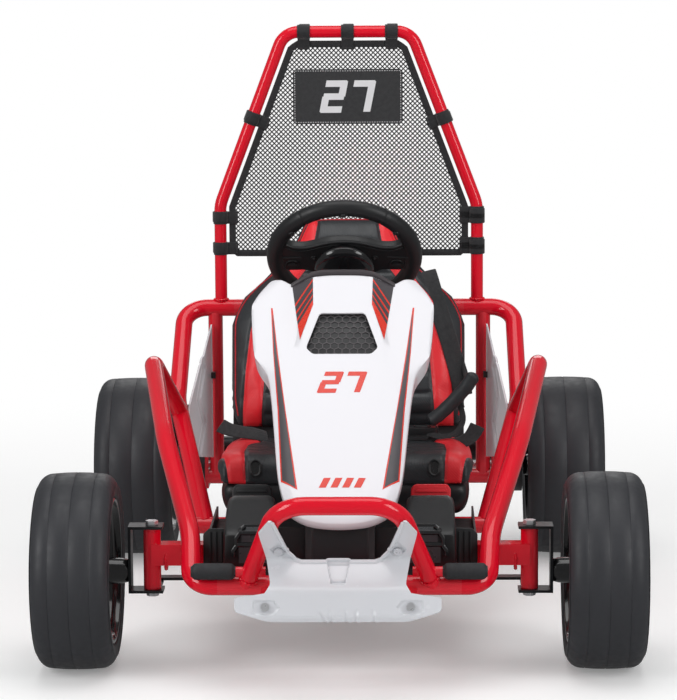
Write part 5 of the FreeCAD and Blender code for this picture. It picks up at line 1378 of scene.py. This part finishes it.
# ---- trim under the wheel
def dash_trim():
    """Grey cowl that follows the hood's upper edge and slopes down to the lobes."""
    half = [(0, 465, 13), (30, 464.5, 13), (47, 461, 12), (61, 455, 7.5), (72, 451, 2.5),
            (78, 449, -1)]
    stations = [(-x, s, n) for x, s, n in reversed(half[1:])] + half
    rings = [[(x, s - 16, -16), (x, s + 8, -16), (x, s + 8, n - 1), (x, s + 6, n + 3),
              (x, s + 1, n + 4.5), (x, s - 1.5, n + 3.5), (x, s - 2, n - 2)]
             for x, s, n in stations]
    cowl = piece("dash_cowl", loft(rings), HOOD)
    rounded(cowl, 1.2, 2, 40)
    dressed(cowl, "trim_grey", ["dash_trim"], 30)


# ---- webbing and foam
def islands(node):
    """Boxes of a node's separate solids, as (low, high), in millimetres."""
    mesh = nodes[node].data
    world = nodes[node].matrix_world
    parent = list(range(len(mesh.vertices)))

    def root(k):
        while parent[k] != k:
            parent[k] = parent[parent[k]]
            k = parent[k]
        return k

    for edge in mesh.edges:
        a, b = (root(v) for v in edge.vertices)
        parent[a] = b
    groups = {}
    for vertex in mesh.vertices:
        groups.setdefault(root(vertex.index), []).append(world @ vertex.co / MM)
    boxes = [(Vector(map(min, zip(*points))), Vector(map(max, zip(*points))))
             for points in groups.values()]
    boxes.sort(key=lambda box: tuple(round(value, 1) for value in box[0]))
    merged = []
    for low, high in boxes:
        for k, (low_k, high_k) in enumerate(merged):
            if all(low[i] <= high_k[i] + 0.01 and high[i] >= low_k[i] - 0.01 for i in range(3)):
                merged[k] = (Vector(map(min, zip(low, low_k))), Vector(map(max, zip(high, high_k))))
                break
        else:
            merged.append((low, high))
    return merged


def net_straps():
    """Webbing loops round the hoop, each with a sewn flap that holds the net's hem."""
    foot = high_of("roll_hoop").x - HOOP_TUBE
    top = high_of("roll_hoop").z - HOOP_TUBE
    line = [Vector((x, middle_of("roll_hoop").y, z)) for x, z in (
        (-foot, low_of("roll_hoop").z), (-foot, HOOP_KNEE_HEIGHT), (-HOOP_TOP_HALF, top),
        (HOOP_TOP_HALF, top), (foot, HOOP_KNEE_HEIGHT), (foot, low_of("roll_hoop").z))]
    bands, threads = Form(), Form()
    for low, high in islands("net_straps"):
        middle = (low + high) / 2
        nearest = []
        for a, b in zip(line, line[1:]):
            way = (b - a).normalized()
            spot = a + way * max(0.0, min((b - a).length, (middle - a).dot(way)))
            nearest.append(((middle - spot).length, spot, way))
        spot, way = min(nearest, key=lambda found: found[0])[1:]
        inward = Vector((-way.z, 0, way.x))
        if inward.dot(Vector((0, 0, 650)) - spot) < 0:
            inward = -inward
        ahead = Vector((0, -1, 0))
        for shift, radius, width in ((0.0, HOOP_TUBE + 1.0, 21), (1.5, HOOP_TUBE + 2.3, 17)):
            facing = [inward * c + ahead * s for c, s in round_of(32)]
            loop = [spot + way * shift + out * radius for out in facing]
            bands.add(swept(loop, flat_section(width, 1.3), facing, True))
        for level in (-1.9, 1.9):
            start = spot + inward * (HOOP_TUBE - 1) + ahead * level * 1.6
            end = spot + inward * (HOOP_TUBE + 19) + ahead * level
            bands.add(swept([start, start.lerp(end, 0.5) + ahead * level * 0.2, end],
                            flat_section(20, 1.3), ahead))
        for row in (10.5, 16.5):
            for k in range(6):
                at = spot + inward * (HOOP_TUBE + row) + way * (-7.5 + 2.6 * k) + ahead * 2.8
                threads.add(swept([at, at + way * 1.6], circle(0.4, 6), ahead))
    straps = mesh_object("hoop_straps", bands)
    dressed(straps, "webbing", ["net_straps"], 50)
    stitches = mesh_object("hoop_stitches", threads)
    dressed(stitches, "trim_grey", sharp=60, slot="webbing")


def webbing_on(name, path, facings, width, node, skin=None, free=0.0):
    """Flat webbing along a path, pressed onto a skin where there is one, in place of its node."""
    fine = smooth_path(path, 6)
    count = len(fine)
    rows = []
    columns = 8
    for k, at in enumerate(fine):
        share = k / (count - 1) * (len(facings) - 1)
        low = min(int(share), len(facings) - 2)
        out = Vector(facings[low]).lerp(Vector(facings[low + 1]), share - low).normalized()
        way = (fine[min(k + 1, count - 1)] - fine[max(k - 1, 0)]).normalized()
        across = way.cross(out).normalized()
        out = across.cross(way)
        row = []
        for c in range(columns + 1):
            x = width * (c / columns - 0.5)
            point = at + across * x + out * (0.9 * math.cos(math.pi * (c / columns - 0.5)))
            if skin:
                hit = skin.ray_cast(point + out * 45, -out)
                if hit[0] and (hit[0] - point).length < 34:
                    pressed = ramp(k / count, free, free + 0.15)
                    point = point.lerp(hit[0] + out * 2.0, pressed)
            row.append(point)
        rows.append(row)
    smoothed = []
    for k, row in enumerate(rows):
        near = rows[max(k - 2, 0):k + 3]
        smoothed.append([sum((other[c] for other in near), Vector()) / len(near)
                         for c in range(columns + 1)])
    belt = piece(name, strip(smoothed))
    thickened(belt, 1.7)
    softened(belt)
    dressed(belt, "webbing", [node] if node else [], 50)
    return belt


def harness(back_skin):
    """Shoulder webbing over the backrest and the two lap straps."""
    at_back = frame_at((0, 262, 196), (1, 0, 0), BACK_UP)
    out = at_back.to_3x3() @ Vector((0, 0, 1))
    over = [at_back @ Vector(p) for p in (
        (128, 300, 22), (133, 282, 34), (143, 245, 41), (156, 205, 44), (170, 160, 46),
        (182, 115, 44), (188, 85, 38))]
    webbing_on("shoulder_webbing", over, [out, out], 30, "shoulder_strap", back_skin,
               0.3)
    near = [(-205, 160, 262), (-188, 156, 254), (-165, 154, 250), (-145, 156, 247),
            (-124, 166, 238)]
    webbing_on("lap_webbing_right", near, [(-0.3, -0.55, 0.8), (0, -0.6, 0.8)], 27,
               "lap_strap_right", None)
    far = [(210, 168, 262), (196, 156, 240), (172, 150, 231), (150, 152, 236), (128, 156, 247)]
    webbing_on("lap_webbing_left", far, [(0.2, -0.6, 0.8), (0, -0.6, 0.8)], 25,
               "lap_strap_left", None)


def lap_pad():
    """Padded sleeve of the harness, lying at the seat's left side."""
    pad_path = smooth_path([(204, 150, 345), (188, 146, 322), (166, 144, 298), (146, 144, 279),
                            (130, 146, 268)], 6)
    rings = []
    last = len(pad_path) - 1
    for k, at in enumerate(pad_path):
        share = k / last
        pucker = 1 + 0.03 * math.sin(share * 34)
        swell = round_end(min(share, 1 - share) / 0.06, 0.05) * pucker
        way = (pad_path[min(k + 1, last)] - pad_path[max(k - 1, 0)]).normalized()
        across = way.cross(Vector((0, -0.8, 0.6))).normalized()
        lift = across.cross(way)
        rings.append([at + across * (11.5 * swell * c) + lift * (8.5 * swell * s)
                      for c, s in round_of(20)])
    sleeve = piece("lap_pad", loft(rings))
    softened(sleeve)
    dressed(sleeve, "seat_leather", sharp=60, slot="webbing")


def buckle():
    """Buckle with its sunk button and bars, and the webbing tail that hangs from it."""
    middle = middle_of("harness_buckle")
    size = size_of("harness_buckle")
    flat = frame_at(middle, (1, 0, 0), (0, 1, 0))
    body = Form()
    half, deep = size.x / 2 - 0.5, size.y / 2 - 0.5
    outline = [(half - 4, -deep), (half, -deep + 5), (half, deep - 5), (half - 4, deep)]
    body.add(prism(both(outline), -size.z / 2 + 0.5, size.z / 2 - 2.5), flat)
    body.add(prism(both([(half * 0.45, -deep * 0.55), (half * 0.55, -deep * 0.3),
                         (half * 0.55, deep * 0.3), (half * 0.45, deep * 0.55)]),
                   size.z / 2 - 3, size.z / 2 - 0.6), flat, 1)
    for end in (-1, 1):
        bar = [Vector((end * (half - 3), y, size.z / 2 - 2.2)) for y in (-deep + 5, deep - 5)]
        body.add(swept(bar, circle(1.6, 8)), flat, 1)
    case = rounded(mesh_object("buckle_body", body), 1.4, 3)
    dressed(case, ["plastic_black", "rim_black"], ["harness_buckle"])
    cord = smooth_path([(178, 150, 300), (184, 138, 272), (172, 132, 252), (150, 134, 246),
                        (128, 142, 250)], 5)
    tail = piece("buckle_tail", swept(cord, flat_section(9, 1.4), (0, -0.8, 0.6)))
    dressed(tail, "webbing")


def foot_sleeves():
    """Foam sleeves with rounded ends and shallow squeezed rings."""
    form = Form()
    for low, high in islands("foot_sleeves"):
        middle = (low + high) / 2
        half = (high.x - low.x) / 2
        radius = (high.z - low.z) / 2 - 0.3
        rings = []
        steps = 40
        for k in range(steps + 1):
            share = k / steps
            squeeze = 1 - 0.018 * (0.5 + 0.5 * math.cos(share * 2 * math.pi * 9))
            reach = radius * round_end(min(share, 1 - share) * half * 2 / 7.0, 0.45) * squeeze
            rings.append([(middle.x - half + 2 * half * share, middle.y + y, middle.z + z)
                          for y, z in circle(reach, 28)])
        form.add(loft(rings))
    sleeves = mesh_object("peg_sleeves", form)
    dressed(sleeves, "foam_black", ["foot_sleeves"], 50)


# ---- side panels, tub and welds
PANEL_TURN = math.radians(11.5)
PANEL_SHEET = 2.4


def side_panels():
    """White covers under the side rails, pressed with a zig-zag fold."""
    for word, side in SIDES.items():
        node = f"side_panel_{word}"
        low, high = low_of(node), high_of(node)
        inner = min(abs(low.x), abs(high.x))
        origin = Vector((side * inner, high.y, 0))
        along = Vector((side * math.sin(PANEL_TURN), -math.cos(PANEL_TURN), 0))
        at = frame_at(origin, along, (0, 0, 1))
        reach = (high.y - low.y) / math.cos(PANEL_TURN)
        ground, brow = low.z, high.z
        floor_line = [(0, ground), (reach - 11, ground + 24), (reach, ground + 44)]
        roof_line = [(0, brow), (reach - 11, 282), (reach, 250)]
        columns, rows_count = 90, 120
        rows = []
        sign = 1 if (at.to_3x3() @ Vector((0, 0, 1))).x * side > 0 else -1
        for r in range(rows_count + 1):
            row = []
            for c in range(columns + 1):
                t = reach * c / columns
                z = line_at(floor_line, t) + (line_at(roof_line, t)
                                              - line_at(floor_line, t)) * r / rows_count
                saw = abs(((z - 190) / 46) % 2 - 1)
                fold = t - (38 + 34 * saw)
                press = 2.2 * ramp(fold, -2.5, 2.5) - 1.0 * notch(fold - 18, 2.2, 1)
                edge = min(t, reach - t, z - line_at(floor_line, t), line_at(roof_line, t) - z)
                row.append((t, z, sign * (press - 1.2 * (1 - ramp(edge, 0, 3)))))
            rows.append(row)
        panel = piece(f"{node}_cover", strip(rows), at)
        thickened(panel, PANEL_SHEET)
        dressed(panel, "shell_white", [node], 30)


def seat_skirt():
    """Lower lip of the seat's shell, turned under the front of the cushion."""
    line = [(-190, 60), (-190, 0), (-187, -22), (-172, -37), (-90, -39.5), (0, -40), (90, -39.5),
            (172, -37), (187, -22), (190, 0), (190, 60)]
    path = smooth_path([(x, y, 0) for x, y in line], 5)
    levels = [(201, 8.0), (198, 2.5), (190, 0.0), (180, 0.5), (170, 2.5), (161, 6.0), (156, 11.0),
              (154, 18.0)]
    rows = []
    for z, inward in levels:
        rows.append([(p.x * (1 - inward / 190), p.y + inward * (0.9 if abs(p.x) < 185 else 0), z)
                     for p in path])
    skirt = piece("seat_shell_lip", strip(rows))
    thickened(skirt, 2.6)
    softened(skirt)
    dressed(skirt, "plastic_black", sharp=50)


def beam_apron():
    """Moulded front wall of the floor tub, before the axle beam."""
    front = low_of("front_axle_beam").y - 2.5
    for word, side in SIDES.items():
        at = frame_at((0, front, 0), (1, 0, 0), (0, 0, 1))
        outline = [(46, 128), (186, 128), (194, 146), (194, 196), (186, 204), (46, 206)]
        wall = piece(f"tub_wall_{word}", prism(to_side(outline, side), -1.2, 1.2), at)
        dressed(rounded(wall, 1.0), "plastic_black")
        ribs = Form()
        for x in (168, 176, 184):
            bar = [(x - 1.4, 134), (x + 1.4, 134), (x + 1.4, 200), (x - 1.4, 200)]
            ribs.add(prism(to_side(bar, side), 0.8, 3.0), at)
        dressed(rounded(mesh_object(f"tub_ribs_{word}", ribs), 0.5), "plastic_black")


def tub_nose():
    """Rounded cover over the raised middle of the floor tub, and wave marks on its floor."""
    front = low_of("floor_tub").y - 0.8
    low, high = low_of("floor_tub").z + 1, 205.5
    corner = 11.0
    arc = ring_points((47.5 - corner, front + corner), corner, -90, 0, 6)
    outline = arc + [(47.5, front + 60)]
    cover = piece("tub_cover", prism(both(outline), low, high))
    rounded(cover, 2.0, 3, 50)
    dressed(cover, "plastic_black")
    marks = Form()
    for side in SIDES.values():
        for row in range(3):
            for column in range(3):
                x = side * (66 + column * 40)
                y = front + 128 + row * 36
                path = smooth_path([(x - 13, y, low + 3.4), (x - 5, y + 5, low + 3.4),
                                    (x + 5, y - 5, low + 3.4), (x + 13, y, low + 3.4)], 4)
                marks.add(swept(path, flat_section(4.5, 1.8)))
    waves = mesh_object("tub_marks", marks)
    dressed(waves, "plastic_black")


def weld_beads():
    """Rippled beads round the joints of the main tubes."""
    form = Form()
    tube = 12.7

    def bead(centre, axis, radius):
        axis = Vector(axis).normalized()
        side = axis.cross(Vector((0.3, 0.9, 0.2))).normalized()
        up = axis.cross(side)
        rings = []
        for k, (c, s) in enumerate(round_of(60)):
            out = side * c + up * s
            fat = 2.1 + 0.55 * math.cos(k * math.pi / 2)
            rings.append([Vector(centre) + out * (radius + x) + axis * y
                          for x, y in circle(fat, 8)])
        form.add(strip(rings, closed_rows=True, closed_columns=True))

    beam = middle_of("front_axle_beam")
    cross = middle_of("front_cross_tube")
    hoop_foot = high_of("roll_hoop").x - HOOP_TUBE
    post_top = low_of("roll_hoop").z
    for side in SIDES.values():
        bead((side * 125.6, cross.y - 10, cross.z + 13), (side * -0.35, -0.55, 0.8), tube + 0.4)
        bead((side * 248, beam.y, 158), (1, 0, 0), 15.5)
        bead((side * hoop_foot, middle_of("roll_hoop").y, post_top + 4), (0, 0, 1),
             HOOP_TUBE + 0.6)
    beads = mesh_object("weld_beads", form)
    dressed(beads, "frame_red", sharp=60)


# ---- floor, light and camera
LENS_REACH = 30 / 7     # focal length over the sensor's long side
CAMERA_PLACE = (0.0915, -4.553, 1.0435)
CAMERA_TURN = (8.0, 1.27, 0.36)     # degrees down, to the left and clockwise
WORLD_ON_MATT, WORLD_ON_GLOSS, FLOOR_GLOW = 0.38, 0.2, 0.22


def soft_lamp(name, place, aim, size, power):
    lamp = bpy.data.lights.new(name, "AREA")
    lamp.shape = "RECTANGLE"
    lamp.size, lamp.size_y = size
    lamp.energy = power
    item = bpy.data.objects.new(name, lamp)
    item.location = place
    item.rotation_euler = (Vector(aim) - Vector(place)).to_track_quat("-Z", "Y").to_euler()
    bpy.context.scene.collection.objects.link(item)


def white_world(scene):
    """A world that the camera sees as white, and that lights the object less."""
    world = bpy.data.worlds.new("studio_white")
    scene.world = world
    world.use_nodes = True
    tree = world.node_tree
    back = tree.nodes["Background"]
    rays = add_node(tree, "LightPath").outputs
    seen = math_node(tree, "MAXIMUM", rays["Is Camera Ray"], rays["Is Transmission Ray"])
    back.inputs["Color"].default_value = (1, 1, 1, 1)
    around = math_node(tree, "MULTIPLY_ADD", rays["Is Glossy Ray"],
                       WORLD_ON_GLOSS - WORLD_ON_MATT, WORLD_ON_MATT)
    tree.links.new(math_node(tree, "MAXIMUM", seen, around), back.inputs["Strength"])


def pale_floor(scene):
    """A floor that keeps the object's shadow and fades to white far away."""
    reach = 40.0
    floor_mesh = bpy.data.meshes.new("floor")
    floor_mesh.from_pydata([(-reach, -reach, 0), (reach, -reach, 0), (reach, reach, 0),
                            (-reach, reach, 0)], [], [(0, 1, 2, 3)])
    floor = bpy.data.objects.new("floor", floor_mesh)
    scene.collection.objects.link(floor)
    sheet = bpy.data.materials.new("floor_pale")
    sheet.use_nodes = True
    tree = sheet.node_tree
    out = tree.nodes["Material Output"]
    matt = tree.nodes["Principled BSDF"]
    matt.inputs["Base Color"].default_value = (0.86, 0.86, 0.86, 1)
    matt.inputs["Roughness"].default_value = 0.9
    glow = add_node(tree, "Emission", {"Strength": FLOOR_GLOW})
    lit = add_node(tree, "AddShader", {0: matt.outputs[0], 1: glow.outputs[0]})
    rays = add_node(tree, "LightPath").outputs
    seen = math_node(tree, "MAXIMUM", rays["Is Camera Ray"], rays["Is Transmission Ray"])
    white = add_node(tree, "Emission", {"Strength": 1.0})
    far = add_node(tree, "VectorMath", {0: place_of(tree)}, operation="LENGTH").outputs["Value"]
    fade = add_node(tree, "MapRange", {0: far, 1: 0.8, 2: 2.2, 3: 0.0, 4: 1.0},
                    interpolation_type="SMOOTHSTEP").outputs[0]
    wide = add_node(tree, "MixShader", {0: fade, 1: lit.outputs[0], 2: white.outputs[0]})
    mirrored_floor = add_node(tree, "Emission", {"Strength": FLOOR_GLOW})
    unseen = add_node(tree, "MixShader", {0: rays["Is Glossy Ray"], 1: matt.outputs[0],
                                          2: mirrored_floor.outputs[0]})
    choice = add_node(tree, "MixShader", {0: seen, 1: unseen.outputs[0], 2: wide.outputs[0]})
    tree.links.new(choice.outputs[0], out.inputs["Surface"])
    floor.data.materials.append(sheet)


def studio():
    """World, floor, four soft lamps and the camera."""
    scene = bpy.context.scene
    scene.view_settings.view_transform = "Standard"
    white_world(scene)
    pale_floor(scene)
    soft_lamp("lamp_top", (0, -0.3, 3.2), (0, 0, 0.3), (2.6, 2.2), 34)
    soft_lamp("lamp_left", (-2.6, -2.2, 1.7), (0, 0, 0.35), (1.2, 2.2), 42)
    soft_lamp("lamp_right", (2.6, -2.2, 1.7), (0, 0, 0.35), (1.2, 2.2), 36)
    soft_lamp("lamp_back", (0, 3.0, 1.8), (0, 0, 0.4), (2.4, 1.2), 16)

    lens = bpy.data.cameras.new("camera")
    lens.sensor_width = 36
    lens.lens = 36 * LENS_REACH
    camera = bpy.data.objects.new("camera", lens)
    scene.collection.objects.link(camera)
    pitch, heading, roll = (math.radians(value) for value in CAMERA_TURN)
    ahead = Vector((-math.sin(heading) * math.cos(pitch), math.cos(heading) * math.cos(pitch),
                    -math.sin(pitch)))
    right = Vector((math.cos(heading), math.sin(heading), 0))
    up = right.cross(ahead)
    turned_right = right * math.cos(roll) - up * math.sin(roll)
    turned_up = up * math.cos(roll) + right * math.sin(roll)
    camera.matrix_world = (Matrix.Translation(Vector(CAMERA_PLACE))
                           @ Matrix((turned_right, turned_up, -ahead)).transposed().to_4x4())
    scene.camera = camera


studio()
paint_frame()
for end in ("front", "rear"):
    for word, side in SIDES.items():
        wheel(end, word, side)
hood_skin = hood_shell()
hood_decals(hood_skin)
vent_panel()
hoop_net()
net_patch()
back_skin = backrest()
seat_base()
grip_ring()
wheel_centre()
bumper_shield()
foot_guards()
pedals()
dash_trim()
net_straps()
harness(back_skin)
lap_pad()
buckle()
foot_sleeves()
side_panels()
seat_skirt()
beam_apron()
tub_nose()
weld_beads()
